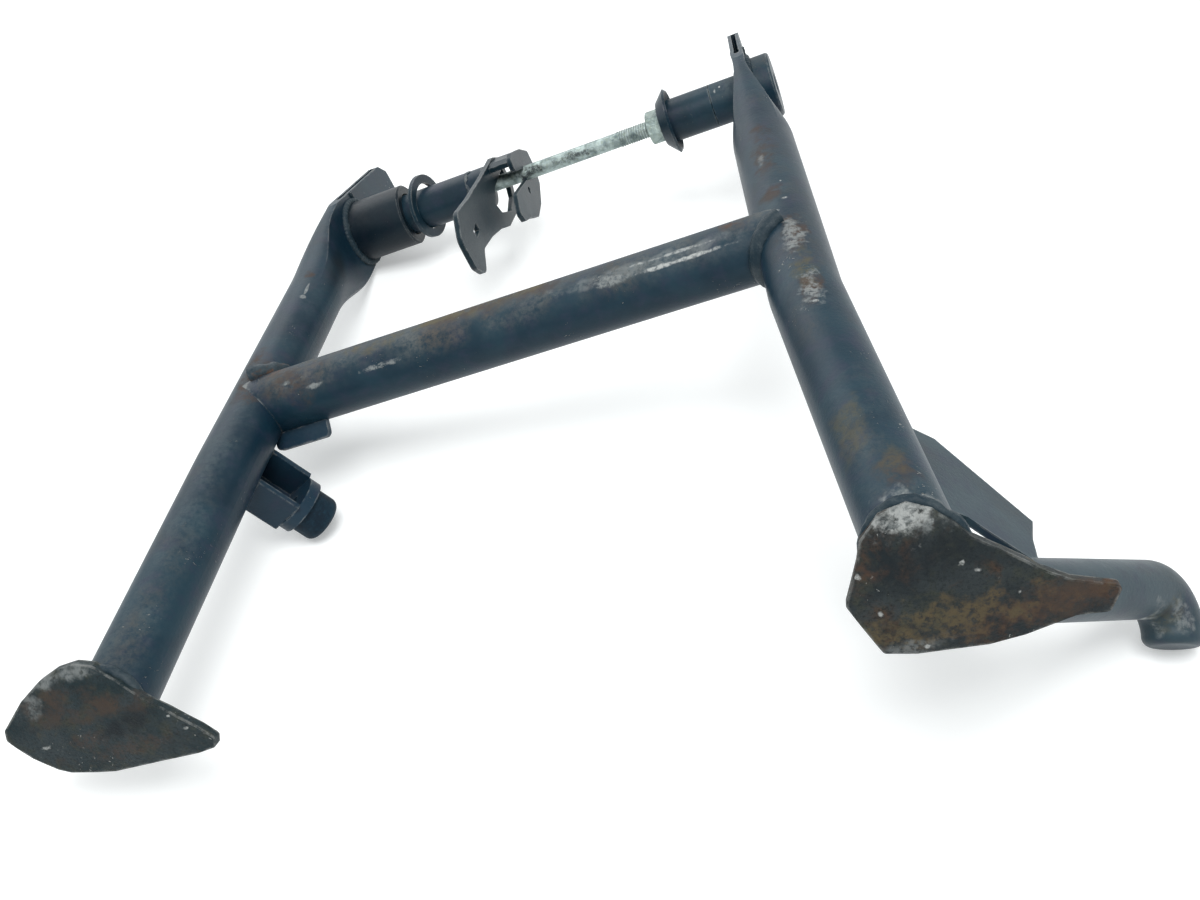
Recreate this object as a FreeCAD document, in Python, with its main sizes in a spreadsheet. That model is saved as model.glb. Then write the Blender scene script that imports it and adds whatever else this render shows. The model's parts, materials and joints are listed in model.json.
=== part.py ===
import FreeCAD, Part
import math
import os
import Sketcher

# Centre stand of a motorcycle, lying on its back as it was laid down.
# Everything is modelled in the stand's own frame: x across, y up the legs from the foot
# plates to the pivot, z to the front, origin in the middle of the cross tube.
# One placement at the end lays the whole stand on the ground, where +Z is up.

Vector = FreeCAD.Vector
Placement = FreeCAD.Placement

SIZES = [
    ("tube_diameter", 31.8, "leg and cross tube, outside diameter"),
    ("tube_wall", 2.3, "wall of the leg and cross tubes"),
    ("half_spread", 143.3, "middle of the stand to a leg's axis, on the cross tube's axis"),
    ("lean_angle", 3.4, "upper legs lean towards each other"),
    ("splay_angle", 7.6, "lower legs spread outwards"),
    ("sweep_angle", 4.3, "lower legs run backwards"),
    ("bend_drop", 49.0, "cross tube axis down to the bend of the legs"),
    ("bend_radius", 90.0, "radius of the bend of the legs"),
    ("squash_start", 104.0, "height where the leg tube starts to flatten"),
    ("squash_full", 172.0, "height where the leg tube is fully flat"),
    ("blade_end", 202.0, "height of the flattened end of the leg tube"),
    ("blade_width", 51.0, "width of the flattened end"),
    ("blade_thickness", 7.0, "thickness of the flattened end"),
    ("blade_back", 30.0, "leg axis back to the rear edge of the flattened end"),
    ("blade_dish", 0.4, "hollow in the faces of the flattened end"),
    ("taper_start", 178.0, "height where the front edge starts to taper"),
    ("taper_angle", 11.2, "taper of the front edge"),
    ("ear_height", 63.0, "length of the ear above the flattened end"),
    ("ear_tip_length", 8.0, "closed tip of the ear"),
    ("ear_slit", 2.6, "slit between the two walls of the ear"),
    ("ear_tip_back", 19.0, "leg axis back to the rear corner of the ear's tip"),
    ("ear_tip_round", 4.0, "radius of the ear's corners"),
    ("ear_hole", 4.6, "small hole in the ear"),
    ("pivot_height", 190.0, "cross tube axis up to the pivot axis"),
    ("pivot_back", 7.0, "leg axis back to the pivot axis"),
    ("pivot_bolt_hole", 12.2, "hole for the pivot bolt through the leg"),
    ("boss_diameter", 38.0, "left pivot boss"),
    ("boss_reach", 92.0, "middle of the stand to the inner end of the left boss"),
    ("boss_chamfer", 1.0, "chamfer of the pivot bosses"),
    ("collar_diameter", 37.0, "right pivot collar"),
    ("collar_reach", 148.0, "middle of the stand to the outer end of the right collar"),
    ("running_clearance", 0.06, "radial clearance of what turns"),
    ("side_gap", 0.3, "gap between turning faces"),
    ("sleeve_diameter", 25.0, "pivot sleeves, outside diameter"),
    ("sleeve_bore", 18.1, "pivot sleeves, bore"),
    ("left_sleeve_reach", 48.0, "middle of the stand to the inner end of the left sleeve"),
    ("right_sleeve_start", 80.0, "middle of the stand to the inner end of the right sleeve"),
    ("right_sleeve_end", 110.0, "middle of the stand to the outer end of the right sleeve"),
    ("spigot_length", 20.0, "spigot of the stub in the right sleeve"),
    ("bush_reach", 37.0, "middle of the stand to the inner end of the bush"),
    ("bush_spigot", 14.0, "spigot of the bush in the left sleeve"),
    ("washer_diameter", 39.4, "loose left washer"),
    ("washer_thickness", 2.5, "loose left washer"),
    ("washer_hole", 28.6, "hole of the loose left washer"),
    ("washer_place", 80.0, "middle of the stand to the loose left washer"),
    ("washer_tilt", 12.0, "lean of the loose left washer"),
    ("rod_diameter", 9.0, "rod between the sleeves"),
    ("rod_end_in_bush", 50.0, "middle of the stand to the rod's left end"),
    ("nut_flats", 17.0, "nut, across flats"),
    ("nut_thickness", 8.0, "nut"),
    ("nut_chamfer", 1.0, "nut, chamfer across its corners"),
    ("cup_diameter", 38.4, "dished washer"),
    ("cup_thickness", 2.5, "wall of the dished washer"),
    ("cup_depth", 6.0, "depth of the dished washer"),
    ("cup_base", 26.0, "flat base of the dished washer"),
    ("cup_hole", 10.0, "hole of the dished washer"),
    ("link_thickness", 3.0, "link plates"),
    ("link_a_place", 29.0, "middle of the stand to link plate A"),
    ("link_b_place", 13.5, "middle of the stand to link plate B"),
    ("link_corner", 7.0, "corner radius of link plate A"),
    ("link_b_corner", 3.5, "corner radius of link plate B"),
    ("slot_width", 5.0, "slot in the long lobe of link plate A"),
    ("slot_length", 10.0, "slot in the long lobe of link plate A"),
    ("link_b_hole", 4.5, "small hole in link plate B"),
    ("sole_thickness", 4.0, "foot plates"),
    ("sole_tilt", 20.0, "foot plates tip back"),
    ("sole_rocker", 120.0, "radius of the foot plates' curve"),
    ("sole_corner", 2.0, "corner radius of the foot plates"),
    ("left_sole_drop", 188.0, "cross tube axis down to the left foot plate"),
    ("right_sole_drop", 207.0, "cross tube axis down to the right foot plate"),
    ("tang_diameter", 24.0, "tang tube, outside diameter"),
    ("tang_wall", 2.0, "wall of the tang tube"),
    ("tang_bend_radius", 16.0, "bend of the tang tube"),
    ("tang_cap", 3.0, "thickness of the tang's closed end"),
    ("tang_tip_round", 4.0, "rounding of the tang's closed end"),
    ("tang_root_out", 8.3, "foot plate's middle to the tang's root, outwards"),
    ("tang_root_up", 8.3, "foot plate's middle to the tang's root, up the stand"),
    ("tang_root_back", 25.1, "foot plate's middle to the tang's root, backwards"),
    ("tang_out", 78.4, "tang's root to its bend, outwards"),
    ("tang_up", 66.7, "tang's root to its bend, up the stand"),
    ("tang_back", 99.6, "tang's root to its bend, backwards"),
    ("tip_in", 5.0, "tang's bend to its tip, inwards"),
    ("tip_down", 20.0, "tang's bend to its tip, down the stand"),
    ("tip_back", 12.0, "tang's bend to its tip, backwards"),
    ("gusset_up", 39.4, "right foot plate up to the gusset's origin"),
    ("gusset_thickness", 3.0, "gusset between leg and tang"),
    ("bracket_wall", 3.0, "stop bracket"),
    ("bracket_width", 27.0, "stop bracket, outside width"),
    ("bracket_depth", 20.5, "stop bracket, outside depth"),
    ("bracket_length", 41.0, "leg axis to the end of the stop bracket"),
    ("bracket_angle", 24.0, "stop bracket runs inwards"),
    ("bracket_drop", 36.0, "cross tube axis down to the stop bracket"),
    ("bracket_offset", 5.6, "stop bracket set outwards of the leg's axis"),
    ("stud_diameter", 6.0, "stud of the rubber buffer"),
    ("cup_ring_diameter", 29.0, "cup behind the rubber"),
    ("cup_ring_length", 6.0, "cup behind the rubber"),
    ("rubber_diameter", 24.0, "rubber buffer"),
    ("rubber_length", 14.0, "rubber buffer outside its cup"),
    ("rubber_round", 4.0, "rounding of the rubber's end"),
    ("rubber_seat", 3.0, "rubber inside its cup"),
    ("tab_length", 31.0, "tab under the cross tube"),
    ("tab_width", 9.0, "tab under the cross tube"),
    ("tab_thickness", 3.0, "tab under the cross tube"),
    ("tab_place", 121.0, "middle of the stand to the tab's middle"),
    ("tab_angle", 47.0, "tab turned backwards"),
]

doc = FreeCAD.newDocument("centre_stand")
sheet = doc.addObject("Spreadsheet::Sheet", "Sizes")
for row, (alias, value, meaning) in enumerate(SIZES, start=1):
    sheet.set(f"A{row}", meaning)
    sheet.set(f"B{row}", str(value))
    sheet.setAlias(f"B{row}", alias)
doc.recompute()


def size(alias):
    """Value of one named size."""
    return float(getattr(sheet, alias))


def slope(alias):
    """Tangent of a named angle."""
    return math.tan(math.radians(size(alias)))


def frame(origin, x_axis, y_axis):
    """Placement whose local x and y axes run along the two given directions."""
    x_unit = Vector(x_axis).normalize()
    z_unit = x_unit.cross(Vector(y_axis)).normalize()
    y_unit = z_unit.cross(x_unit)
    turn = FreeCAD.Rotation(x_unit, y_unit, z_unit, "XYZ")
    return Placement(origin, turn)


FORWARD = Vector(0, 0, 1)
ACROSS = Vector(1, 0, 0)
UPWARD = Vector(0, 1, 0)
LEFT = -1
RIGHT = 1

finished = {}


def keep(label, part, place=Placement()):
    """Name a finished sub-part and note its place in the stand's frame."""
    part.Label = label
    part.Placement = place
    finished[label] = (part, place)


def keep_shape(label, shape):
    """Add a shape made in the stand's frame as a finished sub-part."""
    part = doc.addObject("Part::Feature", label)
    part.Shape = shape
    keep(label, part, shape.Placement)


def bind(thing, **expressions):
    """Bind properties of a feature to expressions of the named sizes."""
    for name, expression in expressions.items():
        thing.setExpression(name, expression)


def origin_plane(body, role):
    """One of a body's own origin planes."""
    return next(item for item in body.Origin.OriginFeatures if item.Role == role)


def sketch_on(body, role, name):
    """New sketch on one of the body's own origin planes."""
    sketch = body.newObject("Sketcher::SketchObject", name)
    sketch.AttachmentSupport = (origin_plane(body, role), [""])
    sketch.MapMode = "FlatFace"
    return sketch


def closed_outline(sketch, corners):
    """Closed outline through corners, each a pair of expressions measured from the origin."""
    # the corners start apart and the bound distances move them to their places
    count = len(corners)
    ring = [Vector(math.cos(math.tau * i / count), math.sin(math.tau * i / count), 0)
            for i in range(count)]
    first = sketch.GeometryCount
    for i in range(count):
        sketch.addGeometry(Part.LineSegment(ring[i], ring[(i + 1) % count]), False)
    for i in range(count):
        following = first + (i + 1) % count
        sketch.addConstraint(Sketcher.Constraint("Coincident", first + i, 2, following, 1))
    for i, (across, up) in enumerate(corners):
        for kind, expression in (("DistanceX", across), ("DistanceY", up)):
            start = ring[i].x if kind == "DistanceX" else ring[i].y
            index = sketch.addConstraint(Sketcher.Constraint(kind, -1, 1, first + i, 1, start))
            sketch.setExpression(f"Constraints[{index}]", expression)


def circle(sketch, diameter, across, up):
    """Circle of a named diameter at expressions measured from the origin."""
    geometry = sketch.addGeometry(Part.Circle(Vector(1, 1, 0), FORWARD, 1), False)
    rows = (("Diameter", geometry, 2), ("DistanceX", -1, 1, geometry, 3, 1),
            ("DistanceY", -1, 1, geometry, 3, 1))
    for row, expression in zip(rows, (diameter, across, up)):
        index = sketch.addConstraint(Sketcher.Constraint(*row))
        sketch.setExpression(f"Constraints[{index}]", expression)


def turned(name, corners):
    """Body turned about its local x axis, from corners given as (along, radius)."""
    body = doc.addObject("PartDesign::Body", name)
    sketch = sketch_on(body, "XY_Plane", name + "_section")
    closed_outline(sketch, corners)
    turn = body.newObject("PartDesign::Revolution", name + "_turned")
    turn.Profile = sketch
    turn.ReferenceAxis = (sketch, ["H_Axis"])
    turn.Angle = 360
    return body


def plate(name, corners, thickness, holes=()):
    """Body of a flat plate, centred on its local xy plane."""
    body = doc.addObject("PartDesign::Body", name)
    sketch = sketch_on(body, "XY_Plane", name + "_outline")
    closed_outline(sketch, corners)
    for hole in holes:
        circle(sketch, *hole)
    pad = body.newObject("PartDesign::Pad", name + "_pad")
    pad.Profile = sketch
    pad.Midplane = True
    bind(pad, Length=thickness)
    return body


def rounded(body, radius, chosen=None):
    """Round the outline's corner edges of a plate; chosen picks corners by their place."""
    doc.recompute()
    base = body.Tip
    names = []
    for i, edge in enumerate(base.Shape.Edges, start=1):
        if edge.Curve.TypeId != "Part::GeomLine":
            continue
        along = edge.tangentAt(edge.FirstParameter)
        if abs(along.z) > 0.999 and (chosen is None or chosen(edge.CenterOfMass)):
            names.append(f"Edge{i}")
    fillet = body.newObject("PartDesign::Fillet", body.Name + "_corners")
    fillet.Base = (base, names)
    bind(fillet, Radius=radius)
    body.Tip = fillet


def tube_radius():
    """Outside radius of the leg and cross tubes."""
    return size("tube_diameter") / 2


def leg_up(side):
    """Direction of a leg above its bend."""
    return Vector(-side * slope("lean_angle"), 1, 0).normalize()


def leg_down(side):
    """Direction of a leg below its bend."""
    return Vector(side * slope("splay_angle"), -1, -slope("sweep_angle")).normalize()


def leg_point(side, height):
    """Point on a leg's axis at a height measured from the cross tube."""
    drop = size("bend_drop")
    bend = Vector(side * (size("half_spread") + drop * slope("lean_angle")), -drop, 0)
    along = leg_up(side) if height > -drop else leg_down(side)
    return bend + along * ((height + drop) / along.y)


def sole_frame(side):
    """Frame of a foot plate: x across, y to the front, z out of the sole."""
    drop = size("left_sole_drop") if side == LEFT else size("right_sole_drop")
    tilt = math.radians(size("sole_tilt"))
    centre = leg_point(side, -drop)
    return frame(centre, ACROSS, Vector(0, math.sin(tilt), math.cos(tilt)))


def blade_frame(side):
    """Frame in a leg's flattened end: x up the leg, y to the front, z across."""
    return frame(leg_point(side, 0), leg_up(side), FORWARD)


def arc_through(first, middle, last):
    """Edge of a circular arc through three points."""
    return Part.Arc(first, middle, last).toShape()


def squashed_ring(side, height, flatness, inset):
    """Section of a leg tube: round where flatness is 0, a flat blade where it is 1."""
    radius = tube_radius()
    half_width = radius + flatness * (size("blade_width") / 2 - radius) - inset
    half_depth = radius + flatness * (size("blade_thickness") / 2 - radius) - inset
    shift = flatness * (size("blade_width") / 2 - size("blade_back"))
    corner = math.sqrt(0.5)
    corner_width = half_width - (1 - corner) * half_depth
    corner_depth = half_depth * (corner + flatness * (1 - corner))
    face = half_depth - flatness * size("blade_dish")
    places = [(0, half_width), (corner_depth, corner_width), (face, 0),
              (corner_depth, -corner_width), (0, -half_width), (-corner_depth, -corner_width),
              (-face, 0), (-corner_depth, corner_width)]
    turn = frame(leg_point(side, height), Vector(1, side * slope("lean_angle"), 0), FORWARD)
    points = [turn.multVec(Vector(across, deep + shift, 0)) for across, deep in places]
    arcs = [arc_through(points[i], points[(i + 1) % 8], points[(i + 2) % 8]) for i in (1, 3, 5, 7)]
    return Part.Wire(arcs)


def leg_solid(side, inset):
    """Solid of a leg tube, its outside moved in by inset."""
    lower = leg_point(side, -size("right_sole_drop") - size("tube_diameter"))
    upper = leg_point(side, size("squash_start"))
    bend = leg_point(side, -size("bend_drop"))
    turn = leg_up(side).getAngle(leg_down(side) * -1)
    setback = size("bend_radius") * math.tan(turn / 2)
    bend_start = bend + leg_down(side) * setback
    bend_end = bend + leg_up(side) * setback
    inward = (leg_up(side) + leg_down(side)).normalize()
    middle = bend + inward * (size("bend_radius") / math.cos(turn / 2) - size("bend_radius"))
    path = Part.Wire([Part.makeLine(lower, bend_start), arc_through(bend_start, middle, bend_end),
                      Part.makeLine(bend_end, upper)])
    ring = Part.Wire(Part.makeCircle(tube_radius() - inset, lower, leg_down(side) * -1))
    pipe = path.makePipeShell([ring], True, False)
    steps = 4
    rise = (size("squash_full") - size("squash_start")) / steps
    sections = []
    for step in range(steps + 1):
        part_way = step / steps
        flatness = part_way * part_way * (3 - 2 * part_way)
        height = size("squash_start") + step * rise
        sections.append(squashed_ring(side, height, flatness, inset))
    sections.append(squashed_ring(side, size("blade_end"), 1, inset))
    blade = Part.makeLoft(sections, True, False)
    return pipe.fuse(blade).removeSplitter()


def taper_line(height):
    """Front edge of the flattened end at a height, measured from the leg's axis."""
    edge = size("blade_width") - size("blade_back")
    return edge - max(0.0, height - size("taper_start")) * slope("taper_angle")


def taper_tool(side):
    """Wedge that cuts the front corner off the flattened end."""
    start = size("taper_start")
    end = size("blade_end") + size("ear_height")
    reach = size("blade_width")
    corners = [(start, taper_line(start)), (end, taper_line(end)), (end, reach), (start, reach)]
    points = [Vector(x, y, -reach) for x, y in corners]
    wedge = Part.Face(Part.makePolygon(points + points[:1])).extrude(Vector(0, 0, 2 * reach))
    wedge.Placement = blade_frame(side)
    return wedge


def pivot_point(across):
    """Point on the pivot axis."""
    return Vector(across, size("pivot_height"), -size("pivot_back"))


def rod_line(radius, start, end):
    """Cylinder about the pivot axis."""
    return Part.makeCylinder(radius, end - start, pivot_point(start), ACROSS)


def sole_layer(side, outer, inner):
    """Curved layer at the foot plate, between two radii of the rocker."""
    reach = size("sole_rocker")
    axis = Vector(-reach, 0, -reach)
    layer = Part.makeCylinder(outer, 2 * reach, axis, ACROSS)
    layer = layer.cut(Part.makeCylinder(inner, 2 * reach, axis, ACROSS))
    near = Part.makeBox(2 * reach, 2 * reach, 2 * reach, Vector(-reach, -reach, -reach / 2))
    layer = layer.common(near)
    layer.Placement = sole_frame(side)
    return layer


legs = {}
for side, label in ((LEFT, "leg_left"), (RIGHT, "leg_right")):
    outside = leg_solid(side, 0)
    legs[side] = outside
    tube = outside.cut(leg_solid(side, size("tube_wall")))
    tube = tube.cut(taper_tool(side))
    rocker = size("sole_rocker")
    tube = tube.cut(sole_layer(side, rocker + size("tang_diameter") * 4,
                               rocker - size("sole_thickness")))
    near = side * (size("half_spread") - size("tube_diameter"))
    far = side * (size("half_spread") + size("tube_diameter"))
    hole = rod_line(size("pivot_bolt_hole") / 2, min(near, far), max(near, far))
    tube = tube.cut(hole)
    keep_shape(label, tube)


def cross_tube():
    """Cross tube between the legs, its ends cut to their round."""
    start = Vector(-size("half_spread"), 0, 0)
    length = 2 * size("half_spread")
    tube = Part.makeCylinder(tube_radius(), length, start, ACROSS)
    tube = tube.cut(Part.makeCylinder(tube_radius() - size("tube_wall"), length, start, ACROSS))
    return tube.cut(legs[LEFT]).cut(legs[RIGHT])


keep_shape("cross_tube", cross_tube())


def ear(side, label, hole_height):
    """Ear above a leg's flattened end: a strip folded at the tip, with a slit behind it."""
    foot = "(Sizes.blade_end / cos(Sizes.lean_angle * 1deg))"
    top = "(Sizes.blade_end + Sizes.ear_height)"
    edge = "(Sizes.blade_width - Sizes.blade_back)"
    taper = "tan(Sizes.taper_angle * 1deg)"
    front_foot = f"{edge} - ({foot} - Sizes.taper_start) * {taper}"
    front_tip = f"{edge} - ({top} - Sizes.taper_start - Sizes.ear_tip_length) * {taper}"
    corners = [(foot, front_foot),
               (f"{top} - Sizes.ear_tip_length", front_tip),
               (top, f"{front_tip} - Sizes.ear_tip_length"),
               (top, "-Sizes.ear_tip_back"),
               (foot, "-Sizes.blade_back")]
    body = plate(label, corners, "Sizes.blade_thickness",
                 [("Sizes.ear_hole", hole_height, "-Sizes.pivot_back / 2")])
    tip_start = size("blade_end") + size("ear_height") / 2
    rounded(body, "Sizes.ear_tip_round", lambda centre: centre.x > tip_start)
    slit = sketch_on(body, "XZ_Plane", label + "_slit")
    closed_outline(slit, [("Sizes.blade_end - Sizes.ear_slit", "Sizes.ear_slit / 2"),
                          (f"{top} - Sizes.ear_tip_length", "Sizes.ear_slit / 2"),
                          (f"{top} - Sizes.ear_tip_length", "-Sizes.ear_slit / 2"),
                          ("Sizes.blade_end - Sizes.ear_slit", "-Sizes.ear_slit / 2")])
    cut = body.newObject("PartDesign::Pocket", label + "_slit_cut")
    cut.Profile = slit
    cut.Type = "ThroughAll"
    cut.Midplane = True
    keep(label, body, blade_frame(side))


ear(LEFT, "ear_left", "Sizes.blade_end + 2 * Sizes.boss_chamfer + 3 * Sizes.ear_hole")
ear(RIGHT, "ear_right", "Sizes.blade_end + Sizes.ear_height - 3 * Sizes.ear_hole")


def leaning_seat(side, facing):
    """Block that takes away what a boss would have in or behind the leaning leg."""
    reach = size("boss_diameter")
    face = facing * size("blade_thickness") / 2
    low = face - reach if facing > 0 else face
    corner = Vector(size("pivot_height") - reach, -reach, low)
    block = Part.makeBox(2 * reach, 2 * reach, reach, corner)
    block.Placement = blade_frame(side)
    return block


def seated_boss(side, outer, start, end, facing):
    """Ring about the pivot axis whose leg end is cut to the leaning face of the leg."""
    ring = rod_line(outer / 2, start, end)
    return ring.cut(leaning_seat(side, facing)).cut(legs[side])


def left_boss():
    """Boss on the inner face of the left leg, bored for the left sleeve."""
    start = -size("half_spread")
    end = -size("boss_reach")
    boss = seated_boss(LEFT, size("boss_diameter"), start, end, RIGHT)
    bore = size("sleeve_diameter") / 2 + size("running_clearance")
    boss = boss.cut(rod_line(bore, start, end))
    rim = [edge for edge in boss.Edges if abs(edge.CenterOfMass.x - end) < size("side_gap")]
    return boss.makeChamfer(size("boss_chamfer"), rim)


def right_collar():
    """Collar on the outer face of the right leg, bored for the pivot bolt."""
    start = size("half_spread") - size("tube_diameter")
    end = size("collar_reach")
    collar = seated_boss(RIGHT, size("collar_diameter"), start, end, RIGHT)
    collar = collar.cut(rod_line(size("pivot_bolt_hole") / 2, start, end))
    rim = [edge for edge in collar.Edges if abs(edge.CenterOfMass.x - end) < size("side_gap")]
    return collar.makeChamfer(size("boss_chamfer"), rim)


def right_stub():
    """Stub on the inner face of the right leg, with the spigot that the sleeve turns on."""
    start = size("right_sleeve_end") + size("side_gap")
    end = size("half_spread")
    stub = seated_boss(RIGHT, size("sleeve_diameter"), start, end, LEFT)
    spigot = size("sleeve_bore") / 2 - size("running_clearance")
    stub = stub.fuse(rod_line(spigot, start - size("spigot_length"), start))
    hole = rod_line(size("pivot_bolt_hole") / 2, start - size("spigot_length"), end)
    return stub.cut(hole).removeSplitter()


keep_shape("boss_left", left_boss())
keep_shape("collar_right", right_collar())
keep_shape("stub_right", right_stub())

# left pivot hardware, turned pieces about the pivot axis
blade_face = "Sizes.half_spread - Sizes.pivot_height * tan(Sizes.lean_angle * 1deg)"
sleeve_end = f"-({blade_face} - Sizes.blade_thickness - Sizes.side_gap)"
radius = "Sizes.sleeve_diameter / 2"
bore = "Sizes.sleeve_bore / 2"
sleeve_left = turned("sleeve_left", [(sleeve_end, bore), (sleeve_end, radius),
                                     ("-Sizes.left_sleeve_reach", radius),
                                     ("-Sizes.left_sleeve_reach", bore)])
keep("sleeve_left", sleeve_left, Placement(pivot_point(0), FreeCAD.Rotation()))

rod_bore = "Sizes.rod_diameter / 2 + Sizes.running_clearance"
bush_left = turned("bush_left", [("-Sizes.left_sleeve_reach - Sizes.bush_spigot", rod_bore),
                                 ("-Sizes.left_sleeve_reach - Sizes.bush_spigot", bore),
                                 ("-Sizes.left_sleeve_reach", bore),
                                 ("-Sizes.left_sleeve_reach", radius),
                                 ("-Sizes.bush_reach", radius),
                                 ("-Sizes.bush_reach", rod_bore)])
keep("bush_left", bush_left, Placement(pivot_point(0), FreeCAD.Rotation()))

washer_half = "Sizes.washer_thickness / 2"
washer_left = turned("washer_left", [(f"-{washer_half}", "Sizes.washer_hole / 2"),
                                     (f"-{washer_half}", "Sizes.washer_diameter / 2"),
                                     (washer_half, "Sizes.washer_diameter / 2"),
                                     (washer_half, "Sizes.washer_hole / 2")])
washer_lift = size("washer_hole") / 2 - size("sleeve_diameter") / 2 - size("side_gap")
washer_centre = pivot_point(-size("washer_place")) + FORWARD * washer_lift
washer_turn = FreeCAD.Rotation(FORWARD, -size("washer_tilt"))
keep("washer_left", washer_left, Placement(washer_centre, washer_turn))

# right pivot hardware
sleeve_right = turned("sleeve_right", [("Sizes.right_sleeve_start", bore),
                                       ("Sizes.right_sleeve_start", radius),
                                       ("Sizes.right_sleeve_end", radius),
                                       ("Sizes.right_sleeve_end", bore)])
keep("sleeve_right", sleeve_right, Placement(pivot_point(0), FreeCAD.Rotation()))

cup_face = "Sizes.right_sleeve_start - Sizes.cup_thickness"
cup_rim = "Sizes.right_sleeve_start + Sizes.cup_depth - Sizes.cup_thickness"
cup_hole = "Sizes.cup_hole / 2"
cup_washer = turned("cup_washer", [(cup_face, cup_hole), (cup_face, "Sizes.cup_base / 2"),
                                   (cup_rim, "Sizes.cup_diameter / 2"),
                                   (f"{cup_rim} + Sizes.cup_thickness / 2",
                                    "Sizes.cup_diameter / 2 - Sizes.cup_thickness / 2"),
                                   ("Sizes.right_sleeve_start", "Sizes.cup_base / 2"),
                                   ("Sizes.right_sleeve_start", cup_hole)])
keep("cup_washer", cup_washer, Placement(pivot_point(0), FreeCAD.Rotation()))


def nut_end():
    """Middle of the stand to the nut's outer face, close against the dished washer."""
    return size("right_sleeve_start") - size("cup_thickness") - size("side_gap")


def rod():
    """Rod from the bush to the nut's outer face."""
    shaft = rod_line(size("rod_diameter") / 2, -size("rod_end_in_bush"), nut_end())
    ends = [edge for edge in shaft.Edges if edge.Curve.TypeId == "Part::GeomCircle"]
    return shaft.makeChamfer(size("boss_chamfer") / 2, ends)


def nut():
    """Hexagon nut with chamfered corners, against the dished washer."""
    end = nut_end()
    start = end - size("nut_thickness")
    sides = 6
    half_corners = size("nut_flats") / 2 / math.cos(math.pi / sides)
    corners = []
    for i in range(sides + 1):
        turn = math.tau * i / sides
        spoke = Vector(0, half_corners * math.cos(turn), half_corners * math.sin(turn))
        corners.append(pivot_point(start) + spoke)
    hexagon = Part.Face(Part.makePolygon(corners)).extrude(ACROSS * size("nut_thickness"))
    face = half_corners - size("nut_chamfer")
    wide = face + size("nut_thickness") / math.tan(math.radians(30))
    low = Part.makeCone(face, wide, size("nut_thickness"), pivot_point(start), ACROSS)
    high = Part.makeCone(face, wide, size("nut_thickness"), pivot_point(end), ACROSS * -1)
    body = hexagon.common(low).common(high)
    return body.cut(rod_line(size("rod_diameter") / 2, start, end))


keep_shape("pivot_rod", rod())
keep_shape("pivot_nut", nut())


def link_frame(across):
    """Frame of a link plate: x up the stand, y to the front."""
    return frame(pivot_point(across), UPWARD, FORWARD)


# outlines of the link plates and their web, from the pivot axis up the stand and to the front
LINK_A = [(-114, 6), (-104, -5), (-88, 3), (-66, -2), (-45, -9), (-28, -17), (-4, -21),
          (14, -12), (14, 10), (0, 17), (-30, 21), (-72, 28), (-100, 34), (-114, 24)]
LINK_A_WINDOW = [(8, 5), (-20, 7), (-34, 2), (-30, -6), (-12, -15), (3, -13), (9, -6)]
LINK_A_SLOT = (-86, 14)
LINK_B = [(23, 4), (8, 13), (-10, 19.5), (-18, 19), (-19.5, 11.5), (-2, 4.2), (-5, -2),
          (-36, 5), (-47, -3), (-44, -10), (-33, -14), (-16, -23), (1, -23), (18, -17), (23, -8)]
LINK_B_HOLE = (-10, -7)
LINK_WEB = [(6, 10.5), (6, 13.5), (-10, 17.5), (-17, 17.5), (-17, 14.5), (-10, 14.5)]


def corners_of(outline):
    """Expressions for an outline's corners."""
    return [(str(along), str(deep)) for along, deep in outline]


def cut_through(body, sketch):
    """Cut a sketch's shape right through a plate."""
    cut = body.newObject("PartDesign::Pocket", sketch.Name + "_cut")
    cut.Profile = sketch
    cut.Type = "ThroughAll"
    cut.Midplane = True


def link_plate_a():
    """Link plate A: long lobe with a slot, and the window that the rod passes."""
    body = plate("link_plate_a", corners_of(LINK_A), "Sizes.link_thickness")
    rounded(body, "Sizes.link_corner")
    middle, deep = LINK_A_SLOT
    half = "Sizes.slot_width / 2"
    reach = "Sizes.slot_length / 2"
    slot = sketch_on(body, "XY_Plane", "link_plate_a_slot")
    closed_outline(slot, [(f"{middle} - {reach}", f"{deep} - {half}"),
                          (f"{middle} + {reach}", f"{deep} - {half}"),
                          (f"{middle} + {reach}", f"{deep} + {half}"),
                          (f"{middle} - {reach}", f"{deep} + {half}")])
    cut_through(body, slot)
    window = sketch_on(body, "XY_Plane", "link_plate_a_window")
    closed_outline(window, corners_of(LINK_A_WINDOW))
    cut_through(body, window)
    keep("link_plate_a", body, link_frame(-size("link_a_place")))


def link_plate_b():
    """Link plate B: two lobes about the round bottom of the notch that hangs on the rod."""
    body = plate("link_plate_b", corners_of(LINK_B), "Sizes.link_thickness")
    rounded(body, "Sizes.link_b_corner", lambda centre: centre.Length > size("rod_diameter"))
    along, deep = LINK_B_HOLE
    for name, hole in (("seat", ("Sizes.rod_diameter + 2 * Sizes.running_clearance", "0", "0")),
                       ("hole", ("Sizes.link_b_hole", str(along), str(deep)))):
        sketch = sketch_on(body, "XY_Plane", "link_plate_b_" + name)
        circle(sketch, *hole)
        cut_through(body, sketch)
    keep("link_plate_b", body, link_frame(-size("link_b_place")))


def link_web():
    """Web that joins the link plates along their front edges."""
    gap = "Sizes.link_a_place - Sizes.link_b_place - Sizes.link_thickness"
    body = plate("link_web", corners_of(LINK_WEB), gap)
    middle = (size("link_a_place") + size("link_b_place")) / 2
    keep("link_web", body, link_frame(-middle))


link_plate_a()
link_plate_b()
link_web()

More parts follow.
